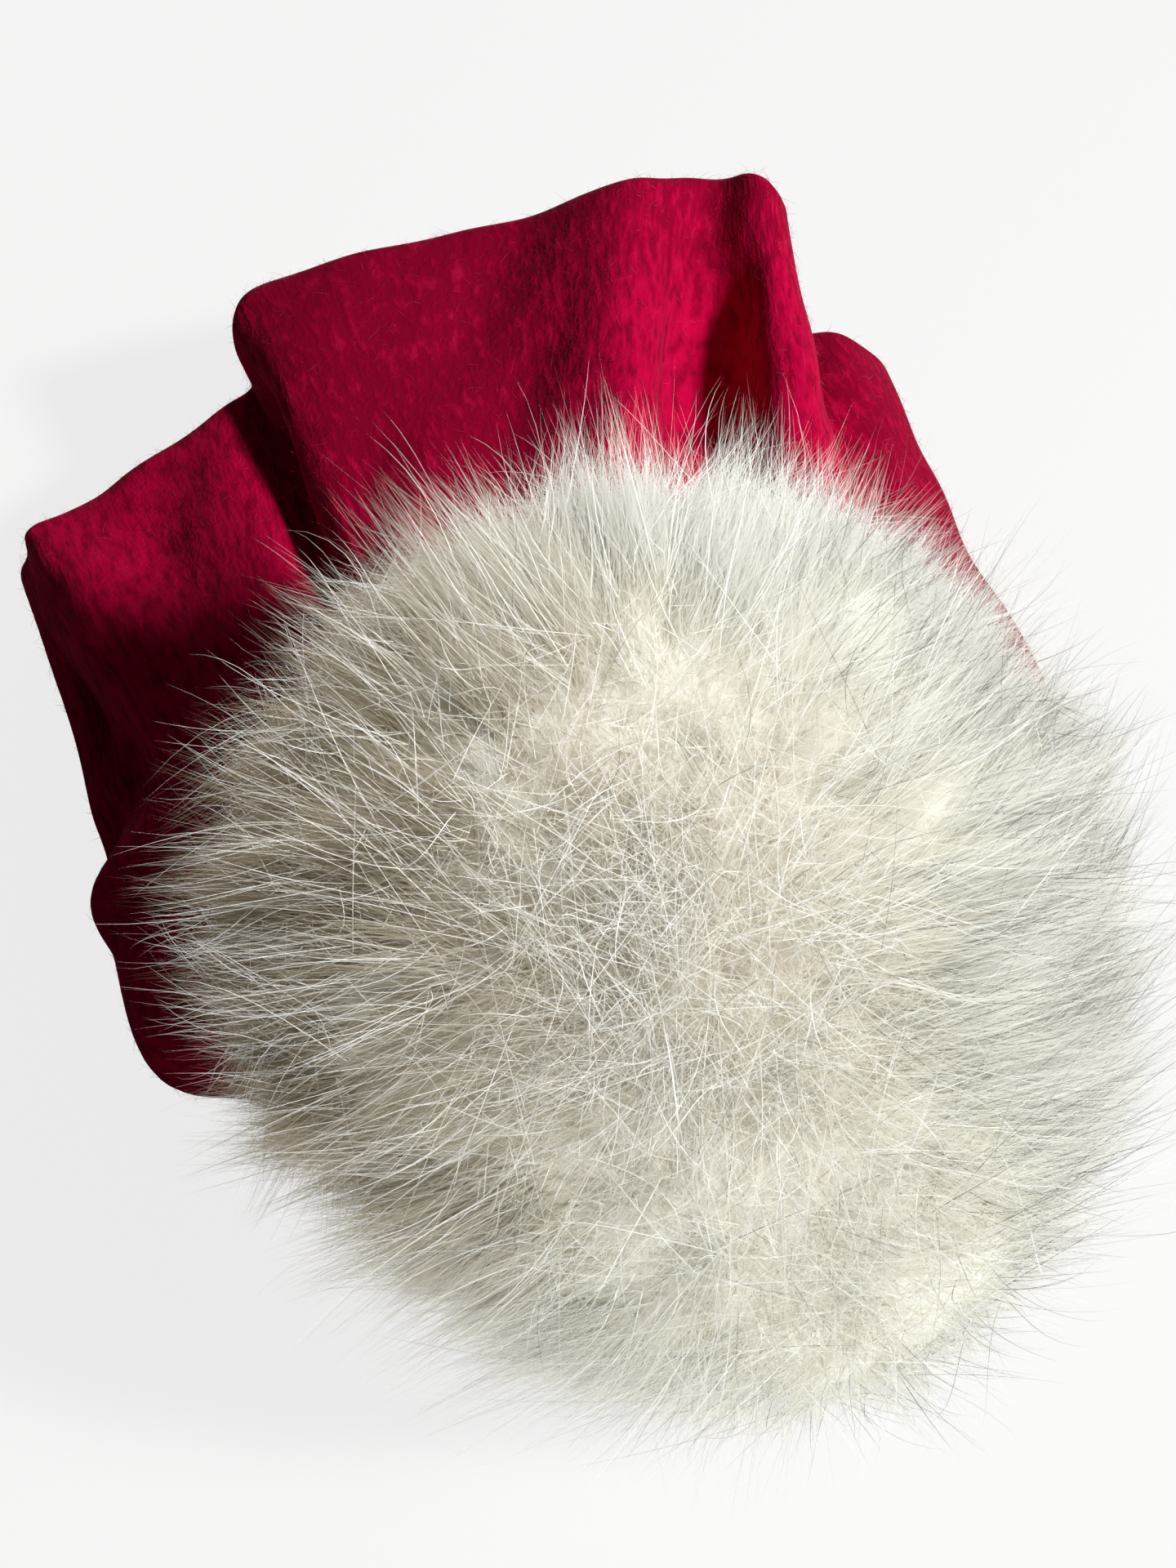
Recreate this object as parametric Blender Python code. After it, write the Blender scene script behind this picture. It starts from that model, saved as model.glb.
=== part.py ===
"""A soft knitted bobble hat lying on its side, with a large fur pompom in front of its crown.

Metres, +Z up. The hat lies on the floor at Z = 0, its opening looks along +Y and its gathered
crown looks along -Y, towards the pompom, which rests on the floor in front of it.
"""

import math

import bmesh
import bpy
import numpy as np
from mathutils import Vector
from mathutils.bvhtree import BVHTree

# Driving sizes, in metres
HALF_WIDTH = 0.105  # half the width of the cloth as it lies
LOBE_HEIGHT = 0.075  # the height of the middle lobe's ridge
SIDE_LENGTH = 0.100  # from the datum line across the hat to the rim
CLOTH_LENGTH = 0.220  # from the rim along the cloth to the gather
CENTRE_ACROSS = 0.0115  # the middle of the cloth lies this far to the right of the pompom
WALL = 0.0045  # the doubled knit
RIM_WALL = 0.0066  # the doubled knit where it folds back at the rim
RIM_FADE = 0.07  # share of the cloth over which the rim's thickness fades out
FOLD_ROUND = 0.0052  # how softly the cloth turns over a fold
INSIDE_EASE = 1.5  # how much softer the inside turns than the outside
TIGHTEST_WALL = 0.75  # in a tight fold the wall gets thinner as soon as the fold is sharper than this
SHOULDER_ROUND = 0.011  # how softly the sides turn into the crown
CROWN_SWELL = 0.010  # how far the gathered crown swells towards the pompom
PLEATS = 12  # gathers round the crown
PLEAT_DEPTH = 0.0016
CROWN_LIFT = 0.006  # the crown's middle stays this far off the floor
FLOOR_SNAP = 0.0002  # cloth lower than this lies on the floor
DEEPEST_DENT = 0.010
DENT_LIFT = 0.008  # dents fade out below this height, so that the underside stays flat

GATHER_ACROSS = 0.002  # the crown is drawn together this far to the right of the pompom's middle,
GATHER_FORWARD = 0.030  # this far in front of the datum line
GATHER_HEIGHT = 0.046  # and this far off the floor
GATHER_HOLE = 0.0034  # radius of the hole that the tie's stem passes through with 0.4 mm to spare
GATHER_FROM = 0.90  # share of the cloth from which it turns square to the tie

POMPOM_RADIUS = 0.083  # out to the tips of the locks
POMPOM_FORWARD = 0.075  # its middle lies this far in front of the datum line
POMPOM_STAND = 0.892  # height of its middle off the floor, as a share of its radius
LOCK_ROOT = 0.72  # share of the radius at the valley between locks
LOCK_MIDDLE = 0.875  # share of the radius half way up a lock
LOCK_HALF_ANGLE = 8.6  # degrees from a lock's middle to the valley beside it
LOCK_RAGGED = 0.05  # how much the locks differ in length, as a share of the radius
RAGGED_STEPS = (2.3999, 5.123)  # angles whose waves give each lock its own length
LOCK_DRIFT = 0.10  # how far the locks wander from an even spread
DRIFT_WAVE = 3.1  # waves of that wandering round the pompom
DRIFT_START = (0.4, 1.9, 3.1)
LOCK_SWEEP = 0.35  # how far the locks are combed round, in radians per radius
SWEEP_ABOUT = (0.2, 0.3, 1.0)  # the locks are combed round this axis
SECOND_SWEEP = 0.28
SECOND_ABOUT = (1.0, -0.2, 0.1)
# sides where the fur is shorter or longer: direction x, y, z, share of the radius, how narrow the side is
LOCK_OUTLINE = (
    (-0.830, -0.520, -0.210, -0.24, 11.0),
    (-0.800, 0.500, 0.330, -0.03, 8.0),
    (0.940, -0.342, 0.0, -0.06, 7.5),
    (0.170, -0.950, -0.250, 0.075, 11.0),
)
NEST_ANGLE = 17.0  # degrees round the tie that the hollow takes
NEST_SLOPE = 10.0  # degrees over which its side rises
NEST = 0.041  # distance from the pompom's centre to the hollow that the tie sits in
CLEAR = 0.0030  # air between the locks and the cloth
NEIGHBOUR_ANGLE = 7.0  # degrees round each heading in which the nearest cloth counts
PRESS_FROM = 0.75  # share of the way to the cloth from which a lock is pressed shorter
RAY_END = 0.3
FLOOR_GAP = 0.0004  # air under the locks
SETTLE = 0.005  # the height over which the locks give way to the floor

TIE_STEM = 0.0030  # radius
TIE_BUTTON = 0.0090  # radius of the button inside the hat
TIE_CAP = 0.0075  # radius of the cap under the pompom
TIE_THICK = 0.0022  # thickness of the button and of the cap
NEST_GAP = 0.0003  # air between the cap on the tie and the pompom
TIE_SINK = 0.0040  # how far the button stands inside the gather
TIE_SIDES = 20

GATHER = (GATHER_ACROSS, -GATHER_FORWARD, GATHER_HEIGHT)
POMPOM_CENTRE = (0.0, -POMPOM_FORWARD, POMPOM_STAND * POMPOM_RADIUS)

# Mesh steps
TURN_STEPS = 76
OUTSIDE_ROWS = 29
INSIDE_ROWS = 12
RIM_ROWS = 3
TIP_LEVELS = 3  # subdivisions of the sphere whose points are the tips of the locks
LOCK_LEVELS = 5  # subdivisions of the pompom's sphere
LIP_STEP = 0.02  # share of the cloth over which the rim's heading is taken
NORMAL_STEP = 0.0015
BEND_LENGTH = 0.009  # a sharp bend of the rim counts as this much more of its length
EVEN_STEPS = 240

# How far along the cloth from the rim the stations lie, as shares
SHOULDER_AT = 0.58
CROWN_AT = 0.80
CROWN_SHARE = 0.62  # width of the crown's middle ring as a share of the shoulder's

# One row for each fold, in order round the hat from the floor up the left side, over the top and
# down the right side. Across is a share of HALF_WIDTH from the cloth's middle, height a share of
# LOBE_HEIGHT, reach a share of SIDE_LENGTH from the datum line.
#  name                 rim across, height, reach    shoulder across, height, reach
FOLDS = (
    ("floor middle", 0.00, 0.00, 1.02, 0.00, 0.00, -0.36),
    ("floor left", -0.80, 0.00, 0.92, -0.80, 0.00, -0.52),
    ("left edge under", -0.96, 0.04, 0.88, -1.00, 0.05, -0.44),
    ("left edge", -0.97, 0.22, 0.88, -1.01, 0.25, -0.40),
    ("left knob", -0.90, 0.34, 0.89, -0.74, 0.46, -0.30),
    ("left crest", -0.68, 0.41, 0.93, -0.58, 0.55, -0.23),
    ("left lobe end", -0.445, 0.555, 0.97, -0.47, 0.62, -0.20),
    ("left valley", -0.36, 0.50, 1.02, -0.39, 0.57, -0.155),
    ("left wall", -0.42, 0.60, 1.07, -0.35, 0.60, -0.135),
    ("middle left corner", -0.375, 0.735, 1.16, -0.28, 0.66, -0.075),
    ("left cheek", -0.095, 0.785, 1.12, -0.18, 0.72, -0.02),
    ("shallow valley", 0.20, 0.815, 1.095, -0.08, 0.76, 0.00),
    ("high ridge", 0.44, 0.98, 1.00, 0.09, 0.82, -0.04),
    ("deep valley", 0.65, 0.86, 1.04, 0.27, 0.56, 0.05),
    ("right ridge", 0.74, 0.93, 0.935, 0.42, 0.73, -0.08),
    ("middle right corner", 0.80, 0.82, 0.915, 0.53, 0.70, -0.125),
    ("right valley", 0.75, 0.29, 0.90, 0.68, 0.48, -0.15),
    ("right crest", 0.88, 0.39, 0.83, 0.82, 0.42, -0.19),
    ("right edge", 1.01, 0.25, 0.75, 0.97, 0.25, -0.25),
    ("right edge under", 1.00, 0.04, 0.74, 0.97, 0.04, -0.29),
    ("floor right", 0.82, 0.00, 0.82, 0.75, 0.00, -0.34),
)

# Dents (negative) and swellings (positive) of the cloth. Turn is the fold's name that it follows
# and how far past it, along a share of the cloth, lean how the dent drifts round as it runs on,
# depth a share of DEEPEST_DENT.
#  fold, past it, along, lean, width round, width along, depth
DENTS = (
    ("deep valley", 0.000, 0.26, 0.00, 0.022, 0.18, -1.00),
    ("shallow valley", 0.000, 0.22, 0.00, 0.026, 0.20, -0.20),
    ("left valley", 0.004, 0.30, 0.00, 0.016, 0.16, -0.40),
    ("left wall", 0.002, 0.13, 0.00, 0.012, 0.07, -0.55),
    ("left edge", 0.022, 0.24, 0.14, 0.015, 0.13, -0.70),
    ("left edge", 0.000, 0.22, 0.00, 0.022, 0.11, -0.60),
    ("left edge", 0.000, 0.325, 0.00, 0.030, 0.040, -0.60),
    ("left edge", 0.000, 0.395, 0.00, 0.030, 0.032, 0.30),
    ("left knob", -0.006, 0.02, 0.00, 0.012, 0.05, 0.22),
    ("left knob", 0.012, 0.15, 0.10, 0.015, 0.13, 0.34),
    ("left knob", 0.036, 0.09, 0.10, 0.010, 0.08, -0.16),
    ("right edge", -0.010, 0.30, 0.00, 0.030, 0.12, -0.30),
)

COLOURS = {
    "hat_body": ((0.42, 0.004, 0.022, 1.0), 0.95),
    "pompom": ((0.80, 0.76, 0.69, 1.0), 0.90),
    "pompom_tie": ((0.60, 0.56, 0.50, 1.0), 0.80),
}

DENSE_STEPS = 720
DENSE = (np.arange(DENSE_STEPS) + 0.5) / DENSE_STEPS


def clear_scene():
    for item in list(bpy.data.objects):
        bpy.data.objects.remove(item, do_unlink=True)


def closed_distance(points):
    """Shares of the way round a closed line at each of its points, from its chord lengths."""
    steps = np.linalg.norm(np.roll(points, -1, axis=0) - points, axis=1)
    return np.concatenate([[0.0], np.cumsum(steps)[:-1]]) / steps.sum(), steps.sum()


def fold_corners():
    """Corner points of the rim and of the shoulder from the table of folds."""
    table = np.array([row[1:] for row in FOLDS])
    size = np.array([HALF_WIDTH, LOBE_HEIGHT, SIDE_LENGTH])
    rim = table[:, :3] * size
    shoulder = table[:, 3:] * size
    rim[:, 0] += CENTRE_ACROSS
    shoulder[:, 0] += CENTRE_ACROSS
    return rim[:, [0, 2, 1]], shoulder[:, [0, 2, 1]]


RIM_CORNERS, SHOULDER_CORNERS = fold_corners()
RIM_TURNS, RIM_LENGTH = closed_distance(RIM_CORNERS)
SHOULDER_TURNS, _ = closed_distance(SHOULDER_CORNERS)
FOLD_TURNS = (RIM_TURNS + SHOULDER_TURNS) / 2
FOLD_TURN = {row[0]: turn for row, turn in zip(FOLDS, FOLD_TURNS)}


def around(corners, turn):
    """A point on the closed line of straight runs between corners, for each turn."""
    turns = np.concatenate([FOLD_TURNS, [1.0]])
    looped = np.concatenate([corners, corners[:1]])
    return np.stack([np.interp(turn % 1.0, turns, looped[:, k]) for k in range(3)], axis=-1)


def soft_around(corners, turn):
    """The same line with its corners rounded: each point is a bell-weighted mean of its neighbours."""
    spread = FOLD_ROUND / RIM_LENGTH
    gap = (turn[:, None] - DENSE[None, :] + 0.5) % 1.0 - 0.5
    weight = np.exp(-0.5 * (gap / spread) ** 2)
    weight[np.abs(gap) > 3 * spread] = 0.0
    weight /= weight.sum(axis=1, keepdims=True)
    return weight @ around(corners, DENSE)


def tie_axes():
    """The direction from the gather to the pompom, and two directions across it: right and up."""
    out = np.array(POMPOM_CENTRE) - np.array(GATHER)
    out /= np.linalg.norm(out)
    right = np.cross(out, (0.0, 0.0, -1.0))
    right /= np.linalg.norm(right)
    return out, right, np.cross(out, right)


def gather_ring(turn):
    """A circle at the gather: the floor's middle meets it at its lowest point."""
    _, right, up = tie_axes()
    angle = 2 * math.pi * turn[:, None]
    return np.array(GATHER) - GATHER_HOLE * (np.sin(angle) * right + np.cos(angle) * up)


def stations(turn):
    """The four lines that the cloth runs over: rim, shoulder, middle of the crown and gather."""
    rim = soft_around(RIM_CORNERS, turn)
    shoulder = soft_around(SHOULDER_CORNERS, turn)
    ring = gather_ring(turn)
    out = tie_axes()[0]
    crown = ring + (shoulder - ring) * CROWN_SHARE + CROWN_SWELL * out
    crown[:, 2] = np.maximum(crown[:, 2], CROWN_LIFT)
    return np.stack([rim, shoulder, crown, ring])


def along_runs(lines, along):
    """Straight runs between the stations, drawn on past both ends so that the ends stay put."""
    places = np.array([0.0, SHOULDER_AT, CROWN_AT, 1.0])
    inside = np.abs(along)
    inside = np.where(inside > 1.0, 2.0 - inside, inside)
    index = np.clip(np.searchsorted(places, inside, side="right") - 1, 0, 2)
    share = ((inside - places[index]) / (places[index + 1] - places[index]))[:, None, None]
    point = lines[index] * (1 - share) + lines[index + 1] * share
    point = np.where((along < 0)[:, None, None], 2 * lines[0] - point, point)
    return np.where((along > 1)[:, None, None], 2 * lines[3] - point, point)


def cloth(turn, along):
    """The outer face of the cloth, one row of points for each place along it."""
    lines = stations(turn)
    spread = SHOULDER_ROUND / CLOTH_LENGTH
    reach = 2.5
    offsets = np.linspace(-reach, reach, 11)
    weight = np.exp(-0.5 * offsets**2)
    weight /= weight.sum()
    ease = np.clip(np.minimum(along, 1.0 - along) / (reach * spread) + 0.02, 0.02, 1.0)
    return sum(
        share * along_runs(lines, along + offset * spread * ease)
        for share, offset in zip(weight, offsets)
    )


def cloth_frame(turn, along):
    """Points of the cloth with their outward normals."""
    point = cloth(turn, along)
    low = np.maximum(along - NORMAL_STEP, 0.0)
    high = np.minimum(along + NORMAL_STEP, 1.0)
    onward = cloth(turn, high) - cloth(turn, low)
    sideways = cloth(turn + NORMAL_STEP, along) - cloth(turn - NORMAL_STEP, along)
    normal = np.cross(onward, sideways)
    normal /= np.linalg.norm(normal, axis=2, keepdims=True)
    return point, normal


def dents(turn, along):
    """How far the cloth stands out or in, over the whole grid."""
    total = np.zeros((len(along), len(turn)))
    for fold, past, place, lean, width_round, width_along, depth in DENTS:
        away = along[:, None] - place
        gap = turn[None, :] - FOLD_TURN[fold] - past - lean * away
        gap = (gap + 0.5) % 1.0 - 0.5
        total += depth * DEEPEST_DENT * np.exp(-((gap / width_round) ** 2) - (away / width_along) ** 2)
    rise = np.clip((along - SHOULDER_AT) / (1 - SHOULDER_AT), 0.0, 1.0)[:, None]
    pleat = np.sin(2 * math.pi * PLEATS * turn)[None, :]
    total += PLEAT_DEPTH * pleat * np.sin(math.pi * rise) ** 2
    return total


def outer_cloth(turn, along):
    """The finished outer face and its normals; the floor keeps its underside flat."""
    point, normal = cloth_frame(turn, along)
    out = tie_axes()[0]
    near_gather = np.clip((along - GATHER_FROM) / (1 - GATHER_FROM), 0.0, 1.0)[:, None, None] ** 2
    normal = normal * (1 - near_gather) + out * near_gather
    normal /= np.linalg.norm(normal, axis=2, keepdims=True)
    lifted = np.clip(point[:, :, 2] / DENT_LIFT, 0.0, 1.0)
    point = point + (dents(turn, along) * lifted)[:, :, None] * normal
    point[:, :, 2] = np.where(point[:, :, 2] < FLOOR_SNAP, 0.0, point[:, :, 2])
    return point, normal


def soft_normals(turn, along):
    """Outward normals evened out round the cloth, so that the inside doesn't cross itself in a fold."""
    near = np.arange(EVEN_STEPS) / EVEN_STEPS
    _, normal = outer_cloth(near, along)
    gap = (turn[:, None] - near[None, :] + 0.5) % 1.0 - 0.5
    weight = np.exp(-0.5 * (gap * RIM_LENGTH / (INSIDE_EASE * FOLD_ROUND)) ** 2)
    weight /= weight.sum(axis=1, keepdims=True)
    mixed = np.einsum("tn,ank->atk", weight, normal)
    return mixed / np.maximum(np.linalg.norm(mixed, axis=2, keepdims=True), TIGHTEST_WALL)


def fold_steps(count):
    """Turns that crowd together where the rim bends."""
    line = soft_around(RIM_CORNERS, DENSE)
    run = np.roll(line, -1, axis=0) - line
    length = np.linalg.norm(run, axis=1)
    heading = run / length[:, None]
    bend = np.linalg.norm(np.roll(heading, -1, axis=0) - heading, axis=1)
    total = np.concatenate([[0.0], np.cumsum(length + BEND_LENGTH * bend)])
    wanted = np.arange(count) / count * total[-1]
    return np.interp(wanted, total, np.append(DENSE, 1.0 + DENSE[0]))


def hat_points():
    """Rows of points: the outside from rim to gather, then the inside back to the rim."""
    turn = fold_steps(TURN_STEPS)
    along = np.linspace(0.0, 1.0, OUTSIDE_ROWS)
    outside, normal = outer_cloth(turn, along)
    back = np.linspace(1.0, 0.0, INSIDE_ROWS)
    behind, _ = outer_cloth(turn, back)
    behind_normal = soft_normals(turn, back)
    thick = WALL + (RIM_WALL - WALL) * np.exp(-((back / RIM_FADE) ** 2))
    inside = behind - thick[:, None, None] * behind_normal
    away = outside[0] - cloth(turn, np.array([LIP_STEP]))[0]
    away /= np.linalg.norm(away, axis=1, keepdims=True)
    middle = (inside[-1] + outside[0]) / 2
    half = (outside[0] - inside[-1]) / 2
    angle = math.pi * (1 + np.arange(RIM_ROWS)) / (RIM_ROWS + 1)
    size = np.linalg.norm(half, axis=1, keepdims=True)
    lip = np.stack([middle - half * math.cos(a) + away * size * math.sin(a) for a in angle])
    return np.concatenate([outside, inside, lip])


def grid_faces(rows, steps):
    """Four-sided faces of a grid that closes on itself both ways."""
    index = np.arange(rows * steps).reshape(rows, steps)
    below = np.roll(index, -1, axis=0)
    right = np.roll(index, -1, axis=1)
    corner = np.roll(below, -1, axis=1)
    return np.stack([index, below, corner, right], axis=-1).reshape(-1, 4)


def lock_sphere():
    """A subdivided sphere, and the coarser one whose points are the tips of the locks."""
    shape = bmesh.new()
    bmesh.ops.create_icosphere(shape, subdivisions=TIP_LEVELS, radius=1.0)
    tips = np.array([v.co[:] for v in shape.verts])
    shape.free()
    shape = bmesh.new()
    bmesh.ops.create_icosphere(shape, subdivisions=LOCK_LEVELS, radius=1.0)
    points = np.array([v.co[:] for v in shape.verts])
    faces = [tuple(v.index for v in face.verts) for face in shape.faces]
    shape.free()
    return tips, points, faces


def turned(points, axis, angle):
    """Points turned about an axis through the origin, each by its own angle."""
    axis = np.array(axis) / np.linalg.norm(axis)
    cosine = np.cos(angle)[:, None]
    sine = np.sin(angle)[:, None]
    dot = (points @ axis)[:, None]
    return points * cosine + np.cross(axis, points) * sine + axis * dot * (1 - cosine)


def ray_lengths(tree, headings):
    """How far each ray from the pompom's centre runs before it meets the cloth."""
    found = []
    for heading in headings:
        hit = tree.ray_cast(Vector(POMPOM_CENTRE), Vector(heading), RAY_END)
        found.append(RAY_END if hit[3] is None else hit[3])
    return np.array(found)


def pompom_points(tree):
    """Locks on a head: each stands out to its tip, is combed round, and is pressed by the cloth."""
    tips, sphere, faces = lock_sphere()
    nearness = sphere @ tips.T
    owner = np.argmax(nearness, axis=1)
    away = np.degrees(np.arccos(np.clip(nearness.max(axis=1), -1.0, 1.0)))
    rise = 1.0 - np.clip(away / LOCK_HALF_ANGLE, 0.0, 1.0)
    profile = np.interp(rise, (0.0, 0.5, 1.0), (LOCK_ROOT, LOCK_MIDDLE, 1.0))
    ragged = np.sin(owner * RAGGED_STEPS[0]) * np.cos(owner * RAGGED_STEPS[1])
    outline = np.ones(len(sphere))
    for x, y, z, share, narrow in LOCK_OUTLINE:
        side = np.array([x, y, z]) / math.sqrt(x * x + y * y + z * z)
        outline += share * np.exp(narrow * (sphere @ side - 1.0))
    radius = POMPOM_RADIUS * profile * (1 + LOCK_RAGGED * ragged * rise) * outline
    heading = sphere + LOCK_DRIFT * np.sin(DRIFT_WAVE * sphere[:, [1, 2, 0]] + np.array(DRIFT_START))
    heading /= np.linalg.norm(heading, axis=1, keepdims=True)
    length = radius / POMPOM_RADIUS - LOCK_ROOT
    heading = turned(heading, SWEEP_ABOUT, LOCK_SWEEP * length)
    heading = turned(heading, SECOND_ABOUT, SECOND_SWEEP * length)
    room = ray_lengths(tree, heading) - CLEAR
    close = heading @ heading.T > math.cos(math.radians(NEIGHBOUR_ANGLE))
    room = np.where(close, room[None, :], np.inf).min(axis=1)
    out = tie_axes()[0]
    off_axis = np.degrees(np.arccos(np.clip(-(heading @ out), -1.0, 1.0)))
    side = np.clip((off_axis - NEST_ANGLE) / NEST_SLOPE, 0.0, 2.0)
    room = np.minimum(room, NEST + side * POMPOM_RADIUS)
    start = PRESS_FROM * room
    over = np.maximum(radius - start, 0.0)
    pressed = start + (room - start) * (1 - np.exp(-over / (room - start)))
    radius = np.where(radius > start, pressed, radius)
    points = np.array(POMPOM_CENTRE) + heading * radius[:, None]
    points[:, 2] = FLOOR_GAP + SETTLE * np.logaddexp(0.0, (points[:, 2] - FLOOR_GAP) / SETTLE)
    return points, faces


def tie_profile(length):
    """Distance along the tie and radius, from the button inside the hat to the cap at the pompom."""
    return (
        (-TIE_THICK, 0.0),
        (-TIE_THICK, TIE_BUTTON * 0.9),
        (-TIE_THICK * 0.6, TIE_BUTTON),
        (-TIE_THICK * 0.2, TIE_BUTTON),
        (0.0, TIE_BUTTON * 0.9),
        (0.0, TIE_STEM),
        (length, TIE_STEM),
        (length, TIE_CAP * 0.9),
        (length + TIE_THICK * 0.5, TIE_CAP),
        (length + TIE_THICK, TIE_CAP * 0.85),
        (length + TIE_THICK, 0.0),
    )


def tie_points():
    out, right, up = tie_axes()
    start = np.array(GATHER) - out * (WALL + TIE_SINK)
    reach = np.linalg.norm(np.array(POMPOM_CENTRE) - start)
    profile = tie_profile(reach - NEST - TIE_THICK - NEST_GAP)
    points = [start + out * profile[0][0]]
    faces = []
    angle = 2 * math.pi * np.arange(TIE_SIDES) / TIE_SIDES
    for place, radius in profile[1:-1]:
        ring = radius * (np.cos(angle)[:, None] * right + np.sin(angle)[:, None] * up)
        points.extend(start + out * place + ring)
    points.append(start + out * profile[-1][0])
    rings = len(profile) - 2
    for ring in range(rings - 1):
        for k in range(TIE_SIDES):
            a = 1 + ring * TIE_SIDES + k
            b = 1 + ring * TIE_SIDES + (k + 1) % TIE_SIDES
            faces.append((a, b, b + TIE_SIDES, a + TIE_SIDES))
    last = len(points) - 1
    for k in range(TIE_SIDES):
        after = (k + 1) % TIE_SIDES
        faces.append((0, 1 + after, 1 + k))
        faces.append((last, last - TIE_SIDES + k, last - TIE_SIDES + after))
    return np.array(points), faces


def make_object(name, points, faces):
    mesh = bpy.data.meshes.new(name)
    mesh.from_pydata([tuple(p) for p in points], [], [tuple(int(i) for i in face) for face in faces])
    mesh.validate()
    shape = bmesh.new()
    shape.from_mesh(mesh)
    bmesh.ops.recalc_face_normals(shape, faces=shape.faces)
    shape.to_mesh(mesh)
    shape.free()
    mesh.shade_smooth()
    item = bpy.data.objects.new(name, mesh)
    bpy.context.scene.collection.objects.link(item)
    colour, roughness = COLOURS[name]
    material = bpy.data.materials.new(name)
    material.use_nodes = True
    shader = material.node_tree.nodes["Principled BSDF"]
    shader.inputs["Base Color"].default_value = colour
    shader.inputs["Roughness"].default_value = roughness
    shader.inputs["Metallic"].default_value = 0.0
    material.diffuse_color = colour
    mesh.materials.append(material)
    return item


def main():
    clear_scene()
    rows = hat_points()
    hat_faces = grid_faces(rows.shape[0], rows.shape[1])
    hat = rows.reshape(-1, 3)
    tree = BVHTree.FromPolygons(
        [Vector(p) for p in hat], [tuple(int(i) for i in face) for face in hat_faces]
    )
    pompom, pompom_faces = pompom_points(tree)
    tie, tie_faces = tie_points()
    every = np.concatenate([hat, pompom, tie])
    middle = (every.min(axis=0) + every.max(axis=0)) / 2
    shift = np.array([-middle[0], -middle[1], 0.0])
    make_object("hat_body", hat + shift, hat_faces)
    make_object("pompom", pompom + shift, pompom_faces)
    make_object("pompom_tie", tie + shift, tie_faces)
    print("shift", shift)


main()
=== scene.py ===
import math

import bpy
import numpy as np
from mathutils import Matrix, Vector
from mathutils.bvhtree import BVHTree


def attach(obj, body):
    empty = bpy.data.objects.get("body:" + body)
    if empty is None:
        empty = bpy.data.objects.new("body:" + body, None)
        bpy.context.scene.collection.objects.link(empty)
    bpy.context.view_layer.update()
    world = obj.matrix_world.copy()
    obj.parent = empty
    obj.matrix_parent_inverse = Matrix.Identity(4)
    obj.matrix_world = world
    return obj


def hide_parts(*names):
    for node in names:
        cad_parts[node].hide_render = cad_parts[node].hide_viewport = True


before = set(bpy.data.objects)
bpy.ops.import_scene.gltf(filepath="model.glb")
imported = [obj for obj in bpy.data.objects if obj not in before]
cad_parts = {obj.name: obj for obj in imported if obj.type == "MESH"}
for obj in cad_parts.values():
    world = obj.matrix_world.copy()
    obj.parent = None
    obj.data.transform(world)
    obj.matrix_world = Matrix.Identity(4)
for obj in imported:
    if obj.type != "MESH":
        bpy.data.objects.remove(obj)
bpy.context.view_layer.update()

# All lengths are in metres. The shapes are worked out round the pompom's own datum, then moved by this much.
worldShift = np.array([-0.01133358, 0.0204354, 0.0])
dense = (np.arange(720) + 0.5) / 720  # shares of the way round at which the rim's line is worked out
photo = {"wide": 1440, "high": 1920, "focal": 2600.0}  # in pixels


def unit(vectors):
    # each vector divided by its own length
    vectors = np.asarray(vectors, float)
    return vectors / np.maximum(np.linalg.norm(vectors, axis=-1, keepdims=True), 1e-12)


def addObject(name, data):
    # an object for this data, linked to the scene
    item = bpy.data.objects.new(name, data)
    bpy.context.scene.collection.objects.link(item)
    return item


camera = {"azimuth": -20.0, "elevation": 58.0, "distance": 0.36, "aimPixel": (815.0, 1150.0)}


def cameraAxes():
    # back points from the object to the camera, right and up lie across the view
    a, e = math.radians(camera["azimuth"]), math.radians(camera["elevation"])
    back = np.array([math.sin(a) * math.cos(e), -math.cos(a) * math.cos(e), math.sin(e)])
    right = np.array([math.cos(a), math.sin(a), 0.0])
    return right, np.cross(back, right), back


def makeCamera(aim):
    # the aimed point lands on aimPixel of the photograph's frame
    right, up, back = cameraAxes()
    across = (camera["aimPixel"][0] - photo["wide"] / 2) * camera["distance"] / photo["focal"]
    down = (camera["aimPixel"][1] - photo["high"] / 2) * camera["distance"] / photo["focal"]
    place = aim + back * camera["distance"] - right * across + up * down
    data = bpy.data.cameras.new("camera")
    data.sensor_width = 36.0
    data.lens = photo["focal"] / photo["high"] * data.sensor_width
    data.clip_start, data.clip_end = 0.01, 20.0
    item = addObject("camera", data)
    item.matrix_world = Matrix.Translation(place) @ Matrix((right, up, back)).transposed().to_4x4()
    bpy.context.scene.camera = item


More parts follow.
